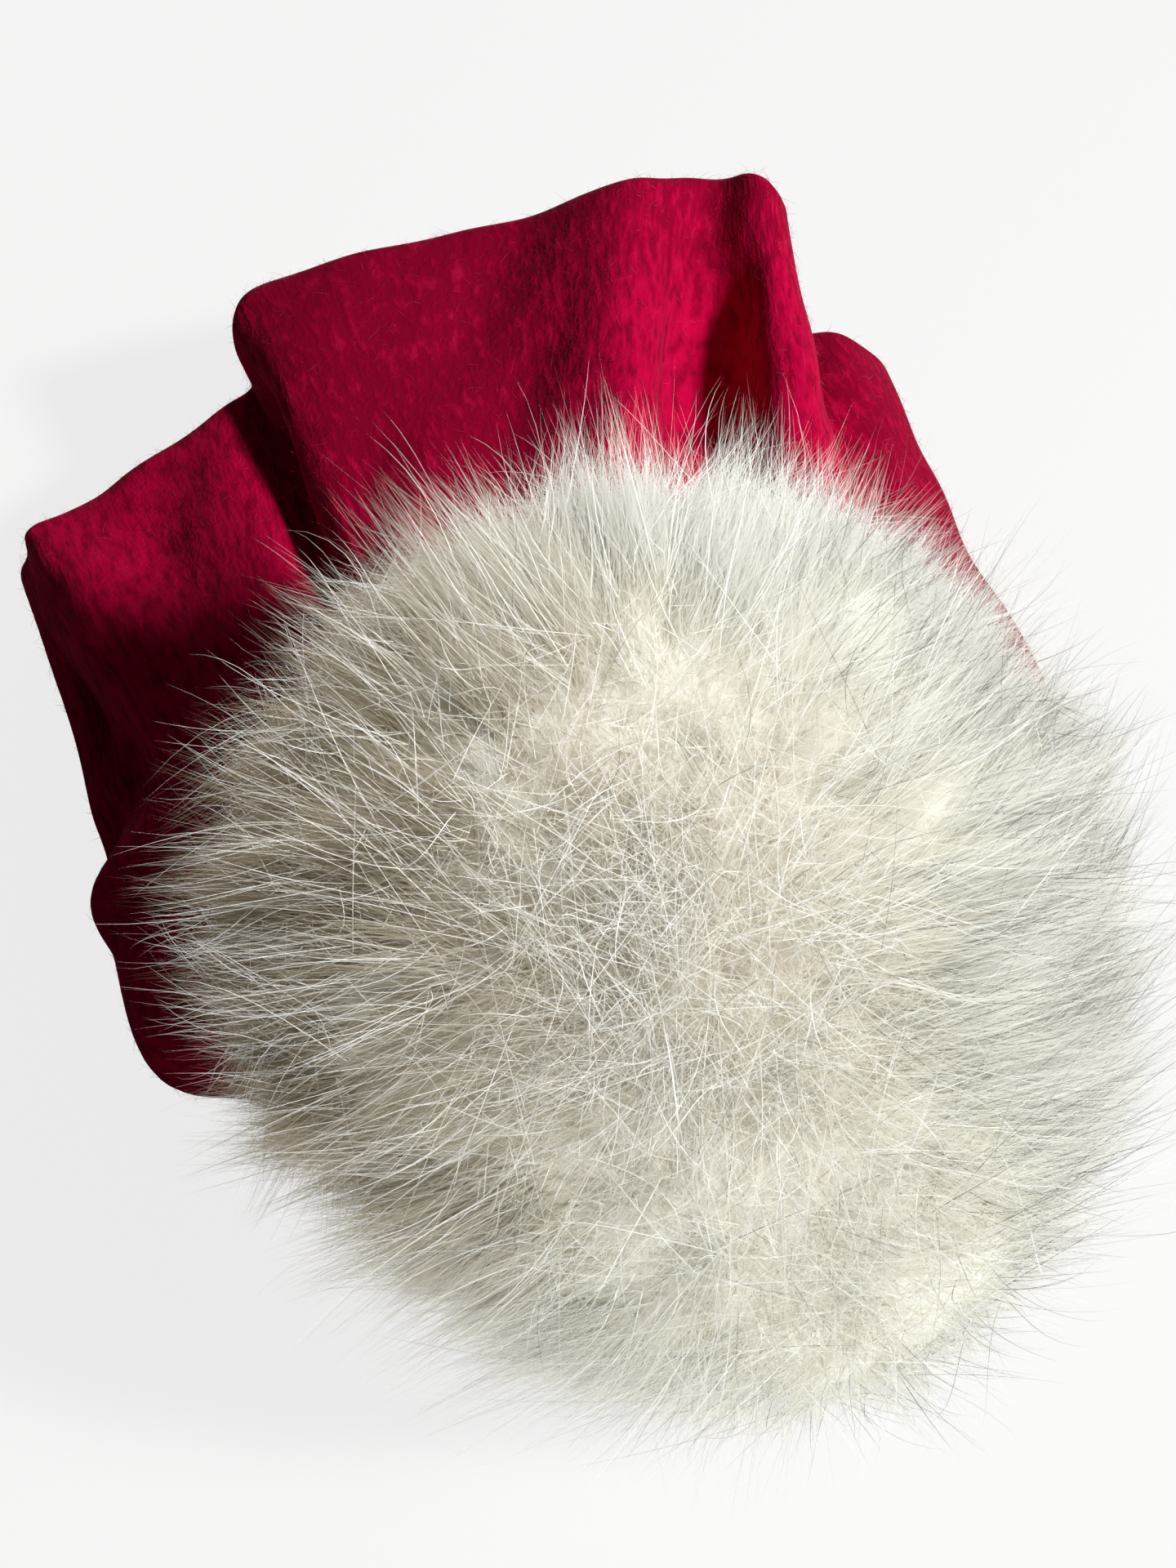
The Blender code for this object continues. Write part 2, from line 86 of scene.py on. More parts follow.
# direction from the pompom, distance and size in metres, watts, colour
lights = {
    "clothKey": ((0.62, -0.43, 0.65), 1.3, 0.20, 26.0, (1.0, 0.985, 0.95)),
    "furKey": ((0.61, -0.13, 0.78), 1.3, 0.60, 13.8, (1.0, 0.98, 0.935)),
    "fill": ((-0.45, -0.88, 0.12), 1.4, 0.8, 0.25, (1.0, 1.0, 1.0)),
    "back": ((0.25, 0.95, 0.14), 1.4, 0.8, 3.0, (1.0, 1.0, 1.0)),
    "furLow": ((-0.10, -0.98, 0.06), 1.3, 0.7, 19.2, (0.98, 1.0, 0.99)),
    "furLeft": ((-0.90, -0.25, 0.36), 1.3, 0.7, 0.45, (1.0, 0.84, 0.66)),
    "furTop": ((0.19, 0.52, 0.83), 1.3, 0.6, 9.8, (0.98, 1.0, 1.0)),
    "hairs": ((-0.62, 0.45, 0.64), 1.3, 0.5, 11.0, (1.0, 0.985, 0.95)),
}
worldLight = {"behind": 1.0, "onObject": 0.02}


def makeLights(aim):
    # round lights that look at the aimed point, and a world that is white behind and faint on the object
    for name, (towards, distance, size, power, colour) in lights.items():
        data = bpy.data.lights.new(name, "AREA")
        data.shape = "DISK"
        data.size, data.energy, data.color = size, power, colour
        item, heading = addObject(name, data), Vector(unit(towards))
        item.location = Vector(aim) + heading * distance
        item.rotation_euler = heading.to_track_quat("Z", "Y").to_euler()
    world = bpy.data.worlds.new("studio")
    world.use_nodes = True
    nodes = world.node_tree.nodes
    nodes.clear()
    out, path = nodes.new("ShaderNodeOutputWorld"), nodes.new("ShaderNodeLightPath")
    seen, lit = nodes.new("ShaderNodeBackground"), nodes.new("ShaderNodeBackground")
    feed(seen, {"Color": (1.0, 1.0, 1.0), "Strength": worldLight["behind"]})
    feed(lit, {"Color": (1.0, 1.0, 1.0), "Strength": worldLight["onObject"]})
    mixShaders(nodes, path.outputs["Is Camera Ray"], lit, seen, out)
    bpy.context.scene.world = world
    bpy.context.scene.view_settings.view_transform = "Standard"


def lightOnly(name, pieces):
    # this light falls on these pieces alone, so that fur and cloth are lit apart
    chosen = bpy.data.collections.new(name + "Pieces")
    for piece in pieces:
        chosen.objects.link(piece)
    bpy.data.objects[name].light_linking.receiver_collection = chosen


# glow: how much plain white the camera sees in place of the lit paper, so that shadows on it stay faint
floor = {"side": 9.0, "height": -0.0003, "colour": (0.62, 0.62, 0.62), "roughness": 0.9, "glow": 0.82}


def makeFloor():
    # one level square of paper
    side, height = floor["side"], floor["height"]
    mesh = bpy.data.meshes.new("floor")
    corners = [(-side, -side, height), (side, -side, height), (side, side, height), (-side, side, height)]
    mesh.from_pydata(corners, [], [(0, 1, 2, 3)])
    item = addObject("floor", mesh)
    material, nodes, shader = newMaterial("palePaper", floor["colour"])
    feed(shader, {"Base Color": floor["colour"], "Roughness": floor["roughness"]})
    glow, path = nodes.new("ShaderNodeEmission"), nodes.new("ShaderNodeLightPath")
    share = mathNode(nodes, path.outputs["Is Camera Ray"], floor["glow"])
    mixShaders(nodes, share, shader, glow, nodes["Material Output"])
    mesh.materials.append(material)
    return item


def meshPiece(name, points, quads, triangles, uv):
    # uv holds one place per corner of each face: first the quads' corners, then the triangles'
    mesh = bpy.data.meshes.new(name)
    quads = np.asarray(quads, np.int32).reshape(-1, 4)
    triangles = np.asarray(triangles, np.int32).reshape(-1, 3)
    mesh.vertices.add(len(points))
    mesh.vertices.foreach_set("co", np.ascontiguousarray(points, np.float32).ravel())
    corners = np.concatenate([quads.ravel(), triangles.ravel()])
    mesh.loops.add(len(corners))
    mesh.loops.foreach_set("vertex_index", corners)
    starts = np.concatenate([np.arange(len(quads)) * 4, len(quads) * 4 + np.arange(len(triangles)) * 3])
    mesh.polygons.add(len(starts))
    mesh.polygons.foreach_set("loop_start", starts.astype(np.int32))
    mesh.polygons.foreach_set("use_smooth", np.ones(len(starts), bool))
    if uv is not None:
        layer = mesh.uv_layers.new(name="OFBake")
        layer.data.foreach_set("uv", np.ascontiguousarray(uv, np.float32).ravel())
    mesh.update(calc_edges=True)
    mesh.validate()
    return addObject(name, mesh)


def signedVolume(points, quads):
    # six times the volume that the four-sided faces close in, positive where they face outwards
    a, b, c, d = (points[quads[:, k]] for k in range(4))
    return np.einsum("nk,nk->", a, np.cross(b, c)) + np.einsum("nk,nk->", a, np.cross(c, d))


def closedQuads(index):
    # four-sided faces of a grid of point numbers that closes on itself both ways
    below = np.roll(index, -1, axis=0)
    corners = [index, below, np.roll(below, -1, axis=1), np.roll(index, -1, axis=1)]
    return np.stack(corners, axis=-1).reshape(-1, 4)


def gridPiece(name, rows, u, v):
    # rows of points that close on themselves both ways; u and v have one value more than the columns and rows
    quads = closedQuads(np.arange(rows.shape[0] * rows.shape[1]).reshape(rows.shape[:2]))
    low, high = np.meshgrid(v[:-1], u[:-1], indexing="ij"), np.meshgrid(v[1:], u[1:], indexing="ij")
    corners = [(low[1], low[0]), (low[1], high[0]), (high[1], high[0]), (high[1], low[0])]
    uv = np.stack([np.stack(corner, axis=-1) for corner in corners], axis=2)
    points, uv = rows.reshape(-1, 3), uv.reshape(-1, 4, 2)
    if signedVolume(points, quads) < 0:
        quads, uv = quads[:, ::-1], uv[:, ::-1]
    return meshPiece(name, points, quads, [], uv.reshape(-1, 2))


def cappedFaces(tall, wide):
    # faces of a grid that closes round its columns, and fans from its first and last rows to two more points
    index = np.arange(tall * wide).reshape(tall, wide)
    low, high = index[:-1], index[1:]
    quads = np.stack([low, np.roll(low, -1, axis=1), np.roll(high, -1, axis=1), high], axis=-1).reshape(-1, 4)
    fans = np.concatenate([
        np.stack([np.roll(index[0], -1), index[0], np.full(wide, tall * wide)], axis=-1),
        np.stack([index[-1], np.roll(index[-1], -1), np.full(wide, tall * wide + 1)], axis=-1),
    ])
    return quads, fans


hat = {
    "halfWidth": 0.105, "lobeHeight": 0.075, "sideLength": 0.100, "clothLength": 0.220,
    "centreAcross": 0.0115,  # the cloth's middle lies this far to the right of the pompom
    "wall": 0.0045, "rimWall": 0.0066, "rimFade": 0.07,
    "foldRound": 0.0052,  # how softly the cloth turns over a fold
    "insideEase": 1.5, "tightestWall": 0.75, "shoulderRound": 0.011,
    "crownSwell": 0.010, "pleats": 12, "pleatDepth": 0.0016, "crownLift": 0.006,
    "floorSnap": 0.0002, "deepestDent": 0.010, "dentLift": 0.008,
    "gather": (0.002, -0.030, 0.046), "gatherHole": 0.0034, "gatherFrom": 0.90,
    "shoulderAt": 0.58, "crownAt": 0.80, "crownShare": 0.62,
    "bendLength": 0.009, "columns": 350, "outsideRows": 126, "insideRows": 32, "lipRows": 8,
    # metres of the knit's pattern: once round, over the lip, and over the lip and across the gather's edge
    "aroundRun": 0.52, "lipRun": 0.012, "edgesRun": 0.014,
    "colour": (0.465, 0.0012, 0.045), "napColour": (0.56, 0.02, 0.10), "deepColour": (0.16, 0.0008, 0.015),
    # painted shade: how much more of the cloth is painted dark on the middle lobe's left, at the rim and on
    # the right lobe
    "leftPaintedShade": 1.4, "rimPaintedShade": 0.7, "rightPaintedShade": 1.2,
    # the painted shade's edges round the cloth, and the width of its band along the rim
    "cornerFade": 0.012, "ridgeFade": 0.025, "rimBand": 0.075,  # as shares of u and v
}

# name, rim across, height, reach, shoulder across, height, reach, in halfWidth, lobeHeight and sideLength
folds = (
    ("floor middle", 0.00, 0.00, 1.02, 0.00, 0.00, -0.36),
    ("floor left", -0.80, 0.00, 0.92, -0.80, 0.00, -0.52),
    ("left edge under", -0.96, 0.04, 0.88, -1.00, 0.05, -0.44),
    ("left edge", -0.97, 0.22, 0.88, -1.01, 0.25, -0.40),
    ("left knob", -0.90, 0.34, 0.89, -0.74, 0.46, -0.30),
    ("left crest", -0.68, 0.41, 0.93, -0.58, 0.55, -0.23),
    ("left lobe end", -0.445, 0.555, 0.97, -0.47, 0.62, -0.20),
    ("left valley", -0.36, 0.50, 1.02, -0.39, 0.57, -0.155),
    ("left wall", -0.42, 0.60, 1.07, -0.35, 0.60, -0.135),
    ("middle left corner", -0.375, 0.735, 1.16, -0.28, 0.66, -0.075),
    ("left cheek", -0.095, 0.785, 1.12, -0.18, 0.72, -0.02),
    ("shallow valley", 0.20, 0.815, 1.095, -0.08, 0.76, 0.00),
    ("high ridge", 0.44, 0.98, 1.00, 0.09, 0.82, -0.04),
    ("deep valley", 0.65, 0.86, 1.04, 0.27, 0.56, 0.05),
    ("right ridge", 0.74, 0.93, 0.935, 0.42, 0.73, -0.08),
    ("middle right corner", 0.80, 0.82, 0.915, 0.53, 0.70, -0.125),
    ("right valley", 0.75, 0.29, 0.90, 0.68, 0.48, -0.15),
    ("right crest", 0.88, 0.39, 0.83, 0.82, 0.42, -0.19),
    ("right edge", 1.01, 0.25, 0.75, 0.97, 0.25, -0.25),
    ("right edge under", 1.00, 0.04, 0.74, 0.97, 0.04, -0.29),
    ("floor right", 0.82, 0.00, 0.82, 0.75, 0.00, -0.34),
)

# fold that it follows, how far past it, along, lean, width round, width along, depth in deepestDent
dentTable = (
    ("deep valley", 0.000, 0.26, 0.00, 0.022, 0.18, -1.00),
    ("shallow valley", 0.000, 0.22, 0.00, 0.026, 0.20, -0.20),
    ("left valley", 0.004, 0.30, 0.00, 0.016, 0.16, -0.40),
    ("left wall", 0.002, 0.13, 0.00, 0.012, 0.07, -0.55),
    ("left edge", 0.022, 0.24, 0.14, 0.015, 0.13, -0.70),
    ("left edge", 0.000, 0.22, 0.00, 0.022, 0.11, -0.60),
    ("left edge", 0.000, 0.325, 0.00, 0.030, 0.040, -0.60),
    ("left edge", 0.000, 0.395, 0.00, 0.030, 0.032, 0.30),
    ("left knob", -0.006, 0.02, 0.00, 0.012, 0.05, 0.22),
    ("left knob", 0.012, 0.15, 0.10, 0.015, 0.13, 0.34),
    ("left knob", 0.036, 0.09, 0.10, 0.010, 0.08, -0.16),
    ("right edge", -0.010, 0.30, 0.00, 0.030, 0.12, -0.30),
)

# waves round, waves along, start, depth in metres: the cloth's small unevenness
ripples = ((7, 2.3, 0.4, 0.00035), (13, 3.7, 1.9, 0.00030), (23, 6.1, 0.7, 0.00018), (31, 4.4, 2.6, 0.00014))


def foldCorners():
    # table shares times the named sizes, as x, y, z
    table = np.array([row[1:] for row in folds])
    size = np.array([hat["halfWidth"], hat["lobeHeight"], hat["sideLength"]])
    rim, shoulder = table[:, :3] * size, table[:, 3:] * size
    rim[:, 0] += hat["centreAcross"]
    shoulder[:, 0] += hat["centreAcross"]
    return rim[:, [0, 2, 1]], shoulder[:, [0, 2, 1]]


def turnsOf(points):
    # share of the way round at each corner, and the whole way round
    steps = np.linalg.norm(np.roll(points, -1, axis=0) - points, axis=1)
    return np.concatenate([[0.0], np.cumsum(steps)[:-1]]) / steps.sum(), steps.sum()


rimCorners, shoulderCorners = foldCorners()
rimTurns, rimLength = turnsOf(rimCorners)
foldTurns = (rimTurns + turnsOf(shoulderCorners)[0]) / 2
foldTurn = {row[0]: turn for row, turn in zip(folds, foldTurns)}
pompomRadius = 0.083
pompomCentre = np.array([0.0, -0.075, 0.892 * pompomRadius])  # the fur gives way to the floor


def softAround(corners, turn):
    # the line of straight runs between corners, each point a bell-weighted mean of its neighbours
    turns, looped = np.append(foldTurns, 1.0), np.concatenate([corners, corners[:1]])
    line = np.stack([np.interp(dense, turns, looped[:, k]) for k in range(3)], axis=-1)
    gap = (turn[:, None] - dense[None, :] + 0.5) % 1.0 - 0.5
    spread = hat["foldRound"] / rimLength
    weight = np.where(np.abs(gap) > 3 * spread, 0.0, np.exp(-0.5 * (gap / spread) ** 2))
    return (weight / weight.sum(axis=1, keepdims=True)) @ line


def tieAxes():
    # from the gather to the pompom, and two directions across
    out = unit(pompomCentre - np.array(hat["gather"]))
    right = unit(np.cross(out, (0.0, 0.0, -1.0)))
    return out, right, np.cross(out, right)


def stations(turn):
    # four lines that the cloth runs over: rim, shoulder, middle of the crown, gather
    out, right, up = tieAxes()
    rim, shoulder = softAround(rimCorners, turn), softAround(shoulderCorners, turn)
    angle = 2 * math.pi * turn[:, None]
    ring = np.array(hat["gather"]) - hat["gatherHole"] * (np.sin(angle) * right + np.cos(angle) * up)
    crown = ring + (shoulder - ring) * hat["crownShare"] + hat["crownSwell"] * out
    crown[:, 2] = np.maximum(crown[:, 2], hat["crownLift"])
    return np.stack([rim, shoulder, crown, ring])


def alongRuns(lines, along):
    # straight runs between the stations, mirrored past both ends so that the ends stay put
    places = np.array([0.0, hat["shoulderAt"], hat["crownAt"], 1.0])
    inside = np.abs(along)
    inside = np.where(inside > 1.0, 2.0 - inside, inside)
    index = np.clip(np.searchsorted(places, inside, side="right") - 1, 0, 2)
    share = ((inside - places[index]) / (places[index + 1] - places[index]))[:, None, None]
    point = lines[index] * (1 - share) + lines[index + 1] * share
    point = np.where((along < 0)[:, None, None], 2 * lines[0] - point, point)
    return np.where((along > 1)[:, None, None], 2 * lines[3] - point, point)


def cloth(turn, along):
    # the runs evened out along the cloth with a bell of weights that narrows towards both ends
    lines = stations(turn)
    spread, reach = hat["shoulderRound"] / hat["clothLength"], 2.5
    offsets = np.linspace(-reach, reach, 11)
    weight = np.exp(-0.5 * offsets**2)
    weight /= weight.sum()
    ease = np.clip(np.minimum(along, 1.0 - along) / (reach * spread) + 0.02, 0.02, 1.0)
    return sum(w * alongRuns(lines, along + o * spread * ease) for w, o in zip(weight, offsets))


def dentDepth(turn, along):
    # bell-shaped dents beside the folds, pleats at the crown, and small ripples
    total = np.zeros((len(along), len(turn)))
    for fold, past, place, lean, wide, long, depth in dentTable:
        away = along[:, None] - place
        gap = (turn[None, :] - foldTurn[fold] - past - lean * away + 0.5) % 1.0 - 0.5
        total += depth * hat["deepestDent"] * np.exp(-((gap / wide) ** 2) - (away / long) ** 2)
    rise = np.clip((along - hat["shoulderAt"]) / (1 - hat["shoulderAt"]), 0.0, 1.0)[:, None]
    pleats = np.sin(2 * math.pi * hat["pleats"] * turn)[None, :]
    total += hat["pleatDepth"] * pleats * np.sin(math.pi * rise) ** 2
    for round_, long, start, depth in ripples:
        total += depth * np.sin(2 * math.pi * (round_ * turn[None, :] + long * along[:, None]) + start)
    return total


def outerCloth(turn, along):
    # cloth pushed along its normal by the dents, laid flat on the floor
    step = 0.0015
    point = cloth(turn, along)
    onward = cloth(turn, np.minimum(along + step, 1.0)) - cloth(turn, np.maximum(along - step, 0.0))
    sideways = cloth(turn + step, along) - cloth(turn - step, along)
    normal = unit(np.cross(onward, sideways))
    near = np.clip((along - hat["gatherFrom"]) / (1 - hat["gatherFrom"]), 0.0, 1.0)[:, None, None] ** 2
    normal = unit(normal * (1 - near) + tieAxes()[0] * near)
    lifted = np.clip(point[:, :, 2] / hat["dentLift"], 0.0, 1.0)
    point = point + (dentDepth(turn, along) * lifted)[:, :, None] * normal
    point[:, :, 2] = np.where(point[:, :, 2] < hat["floorSnap"], 0.0, point[:, :, 2])
    return point, normal


def softNormals(turn, along):
    # normals evened out round the cloth, so that the inside doesn't cross itself in a fold
    near = np.arange(240) / 240
    normal = outerCloth(near, along)[1]
    gap = (turn[:, None] - near[None, :] + 0.5) % 1.0 - 0.5
    weight = np.exp(-0.5 * (gap * rimLength / (hat["insideEase"] * hat["foldRound"])) ** 2)
    weight /= weight.sum(axis=1, keepdims=True)
    mixed = np.einsum("tn,ank->atk", weight, normal)
    return mixed / np.maximum(np.linalg.norm(mixed, axis=2, keepdims=True), hat["tightestWall"])


def foldSteps(count):
    # turns that crowd together where the rim bends
    line = softAround(rimCorners, dense)
    run = np.roll(line, -1, axis=0) - line
    length = np.linalg.norm(run, axis=1)
    heading = run / length[:, None]
    bend = np.linalg.norm(np.roll(heading, -1, axis=0) - heading, axis=1)
    total = np.concatenate([[0.0], np.cumsum(length + hat["bendLength"] * bend)])
    return np.interp(np.arange(count) / count * total[-1], total, np.append(dense, 1.0 + dense[0]))


def hatRows():
    # inside from the gather to the rim, over the lip, and the outside back to the gather
    turn = foldSteps(hat["columns"])
    along = np.linspace(0.0, 1.0, hat["outsideRows"])
    outside = outerCloth(turn, along)[0]
    back = np.linspace(1.0, 0.0, hat["insideRows"])
    behind = outerCloth(turn, back)[0]
    thick = hat["wall"] + (hat["rimWall"] - hat["wall"]) * np.exp(-((back / hat["rimFade"]) ** 2))
    inside = behind - thick[:, None, None] * softNormals(turn, back)
    away = unit(outside[0] - cloth(turn, np.array([0.02]))[0])
    middle, half = (inside[-1] + outside[0]) / 2, (outside[0] - inside[-1]) / 2
    size = np.linalg.norm(half, axis=1, keepdims=True)
    angle = math.pi * (1 + np.arange(hat["lipRows"])) / (hat["lipRows"] + 1)
    lip = np.stack([middle - half * math.cos(a) + away * size * math.sin(a) for a in angle])
    rows = np.concatenate([inside, lip, outside]) + worldShift
    far, past = hat["clothLength"], hat["clothLength"] + hat["lipRun"]
    lipLengths = far + hat["lipRun"] * angle / math.pi
    v = np.concatenate([(1 - back) * far, lipLengths, past + along * far, [2 * far + hat["edgesRun"]]])
    return rows, np.append(turn, turn[0] + 1.0) - turn[0], v / v[-1]


# fur, under-fur and the cloth's nap are all narrow blades on a bent path
strand = {"taper": 0.85, "tintWide": 0.004}  # how a blade narrows to its tip, half its width in u


def strandPiece(name, paths, widths, tints, rng, outward, soft):
    # paths is strand, step, xyz; each step has two points across the strand, but the last is its tip;
    # outward is where each strand's front looks, soft is how far its shading takes that direction
    count, steps = paths.shape[:2]
    tangent = unit(np.gradient(paths, axis=1))
    side = unit(np.cross(tangent, rng.normal(size=(count, 1, 3))))
    front = np.cross(side, tangent)
    turned = np.where(np.einsum("nsk,nk->n", front, outward) < 0, -1.0, 1.0)[:, None, None]
    side, front = side * turned, front * turned
    along = np.linspace(0.0, 1.0, steps)
    profile = widths[:, None] * (1 - along[None, :]) ** strand["taper"] * 0.5
    left = paths[:, :-1] - side[:, :-1] * profile[:, :-1, None]
    right = paths[:, :-1] + side[:, :-1] * profile[:, :-1, None]
    points = np.concatenate([np.stack([left, right], axis=2).reshape(count, -1, 3), paths[:, -1:]], axis=1)
    each = points.shape[1]
    start = (np.arange(count) * each)[:, None]
    low = 2 * np.arange(steps - 2)[None, :] + start
    quads = np.stack([low, low + 1, low + 3, low + 2], axis=-1).reshape(-1, 4)
    last = start[:, 0] + 2 * (steps - 2)
    triangles = np.stack([last, last + 1, last + 2], axis=-1)
    u = np.stack([tints - strand["tintWide"], tints + strand["tintWide"]], axis=-1)
    u = np.concatenate([np.tile(u, (1, steps - 1)), tints[:, None]], axis=1)
    v = np.append(np.repeat(along[:-1], 2), 1.0)[None, :].repeat(count, axis=0)
    uv = np.clip(np.stack([u, v], axis=-1), 0.001, 0.999).reshape(-1, 2)
    corners = np.concatenate([quads.ravel(), triangles.ravel()])
    piece = meshPiece(name, points.reshape(-1, 3), quads, triangles, uv[corners])
    if soft > 0:
        normal = unit(front * (1 - soft) + outward[:, None] * soft)
        normal = np.concatenate([np.repeat(normal[:, :-1], 2, axis=1), normal[:, -1:]], axis=1)
        piece.data.normals_split_custom_set_from_vertices(normal.reshape(-1, 3))
    return piece


nap = {
    "count": 15000, "length": (0.0016, 0.0040), "width": 0.00007, "steps": 4,
    "stand": 0.45, "curl": 0.7, "soft": 0.7,
    "inside": 3,  # it begins this many rows inside the lip
    "reach": 0.86, "crowd": 1.35,  # how far it goes towards the gather, how much it crowds at the rim
    "floorClear": 0.0015, "lowest": 0.0003, "sink": 0.0002,
}


def makeNap(rows):
    # short bent fibres that stand on the outside and round the lip
    rng = np.random.default_rng(11)
    grid = rows[hat["insideRows"] - nap["inside"]:]
    across = np.roll(grid, -1, axis=1) - np.roll(grid, 1, axis=1)
    onward = np.gradient(grid, axis=0)
    normal = unit(np.cross(across, onward))
    if normal[40, np.argmax(grid[40, :, 2]), 2] < 0:  # the highest point of a row outside looks up
        normal = -normal
    count = nap["count"]
    row = rng.random(count) ** nap["crowd"] * (len(grid) * nap["reach"])
    column = rng.integers(0, grid.shape[1], count)
    r = np.minimum(row.astype(int), len(grid) - 2)
    share = (row - r)[:, None]
    base = grid[r, column] * (1 - share) + grid[r + 1, column] * share
    side = rng.random(count)[:, None]
    base = base * (1 - side) + grid[r, (column + 1) % grid.shape[1]] * side
    up = normal[r, column]
    keep = base[:, 2] > nap["floorClear"]
    base, up = base[keep], up[keep]
    count = len(base)
    lean = unit(np.cross(up, rng.normal(size=(count, 3))))
    turn = unit(np.cross(up, rng.normal(size=(count, 3))))
    length = rng.uniform(*nap["length"], size=count)[:, None, None]
    t = np.linspace(0.0, 1.0, nap["steps"])[None, :, None]
    stand = rng.uniform(0.15, 2 * nap["stand"], size=(count, 1, 1))
    rising = up[:, None] * stand * (t - 0.35 * t**2)
    bent = rising + lean[:, None] * t + turn[:, None] * nap["curl"] * (t**2) * 0.5
    paths = base[:, None] + length * bent - up[:, None] * nap["sink"]
    paths[:, :, 2] = np.maximum(paths[:, :, 2], nap["lowest"])
    tints = rng.random(count) ** 2.0
    return strandPiece("hat_nap", paths, np.full(count, nap["width"]), tints, rng, up, nap["soft"])


pompom = {
    "radius": pompomRadius,
    "headShare": 0.865,  # the dense under-fur's head, as a share of the radius
    "headRows": 100, "headColumns": 200,
    "combed": 0.010,  # height of the head's ridges and lumps, as a share of the radius
    # ridges: how many, how far they wind, how often, start; lumps: waves in a radius, direction, start
    "ridges": ((17, 1.1, 3.0, 0.2), (29, 0.9, 4.1, 1.4), (43, 1.3, 5.2, 2.6)),
    "lumps": ((8, (1, 2, 0.5), 0.3), (11, (-1, 1, 2), 1.1), (14, (0.4, -2, 1), 2.2)),
    # sides where the fur is shorter or longer: direction x, y, z, share of the radius, how narrow the side is
    "outline": (
        (-0.830, -0.520, -0.210, -0.24, 11.0), (-0.800, 0.500, 0.330, -0.03, 8.0),
        (0.940, -0.342, 0.0, -0.06, 7.5), (0.170, -0.950, -0.250, 0.075, 11.0),
    ),
    # the hollow at the tie: half its angle and its slope in degrees, and its distance from the centre
    "nestAngle": 17.0, "nestSlope": 10.0, "nest": 0.041,
    "clear": 0.0022, "pressFrom": 0.75, "floorGap": 0.0006, "settle": 0.004,
    "locks": 1300, "lockLean": 0.18, "lockLong": (0.90, 1.08),  # tufts that the strands gather into
    "longestRun": 0.62,  # of a strand, as a share of the radius
    "partings": ((-0.07, 0.27), (-0.03, 0.0), (0.07, -0.25), (0.31, -0.63)),  # across and up in the photo
    "partingWide": 0.12, "partingBlend": 9.0,  # radians; how sharply the combing changes between two partings
}

# steps: points along a strand; root and tip: shares of the radius; lean, lift and messy: how far it is
# combed outwards, stands up, and strays; gather: how far it joins its tuft; curl and coil: its waves;
# soft: how far its shading follows the ball; grey: the largest share of grey ones
underFurShape = {"steps": 3, "root": 0.86, "lean": 1.0, "coil": 2.5, "soft": 0.94}
# grey hairs are partly the fur's own, partly painted shade: their share grows on the lit right side
hairShape = {"root": 0.90, "width": 0.00015, "messy": 0.20, "soft": 0.3, "grey": 0.72}
fur = {
    "pompom_underfur_a": {
        **underFurShape, "count": 50000, "tip": (0.91, 1.08), "width": 0.00018,
        "messy": 0.13, "gather": (0.45, 0.95), "lift": 0.22, "curl": 0.008, "seed": 3,
    },
    "pompom_underfur_b": {
        **underFurShape, "count": 60000, "tip": (0.89, 0.985), "width": 0.00018,
        "messy": 0.20, "gather": (0.1, 0.6), "lift": 0.18, "curl": 0.010, "seed": 4,
    },
    "pompom_underfur_c": {
        **underFurShape, "count": 50000, "tip": (0.89, 0.95), "width": 0.00021,
        "messy": 0.22, "gather": (0.0, 0.2), "lift": 0.12, "curl": 0.010, "seed": 7,
    },
    "pompom_guard_hairs": {
        **hairShape, "count": 9500, "steps": 7, "tip": (0.96, 1.08), "gather": (0.0, 0.7),
        "lean": 1.0, "lift": 0.16, "curl": 0.040, "coil": 1.8, "seed": 5,
    },
    "pompom_long_hairs": {
        **hairShape, "count": 4500, "steps": 8, "tip": (1.00, 1.13), "gather": (0.2, 0.9),
        "lean": 0.9, "lift": 0.22, "curl": 0.050, "coil": 1.6, "seed": 8,
    },
    "pompom_mat_hairs": {
        "count": 6200, "steps": 8, "root": 0.91, "tip": (0.95, 1.02), "width": 0.00013, "messy": 0.55,
        "gather": (0.0, 0.2), "lean": 0.55, "lift": 0.10, "curl": 0.045, "coil": 2.6, "seed": 6, "soft": 0.3,
        "grey": 0.18,
    },
}


def partingAxes():
    # the partings' places in the photograph, set on the side of a ball that looks at the camera
    right, up, back = cameraAxes()
    return unit([x * right + y * up + math.sqrt(1 - x * x - y * y) * back for x, y in pompom["partings"]])


def evenHeadings(count, rng):
    # a spiral of evenly spread directions, each nudged at random
    height = 1 - 2 * (np.arange(count) + 0.5) / count
    angle = np.arange(count) * math.pi * (3 - math.sqrt(5))
    flat = np.sqrt(1 - height**2)
    heading = np.stack([flat * np.cos(angle), flat * np.sin(angle), height], axis=-1)
    return unit(heading + rng.normal(size=(count, 3)) * 0.9 / math.sqrt(count))


def globe(lift, swing):
    # a grid of directions from angles above the level and angles round it
    lift, swing = np.meshgrid(lift, swing, indexing="ij")
    return np.stack([np.cos(lift) * np.cos(swing), np.cos(lift) * np.sin(swing), np.sin(lift)], axis=-1)


def clothTree(coarse):
    # the cloth's rows as a tree that rays can be cast at
    index = np.arange(coarse.shape[0] * coarse.shape[1]).reshape(coarse.shape[:2])
    quads = closedQuads(index).tolist()
    return BVHTree.FromPolygons([Vector(p) for p in coarse.reshape(-1, 3)], quads)


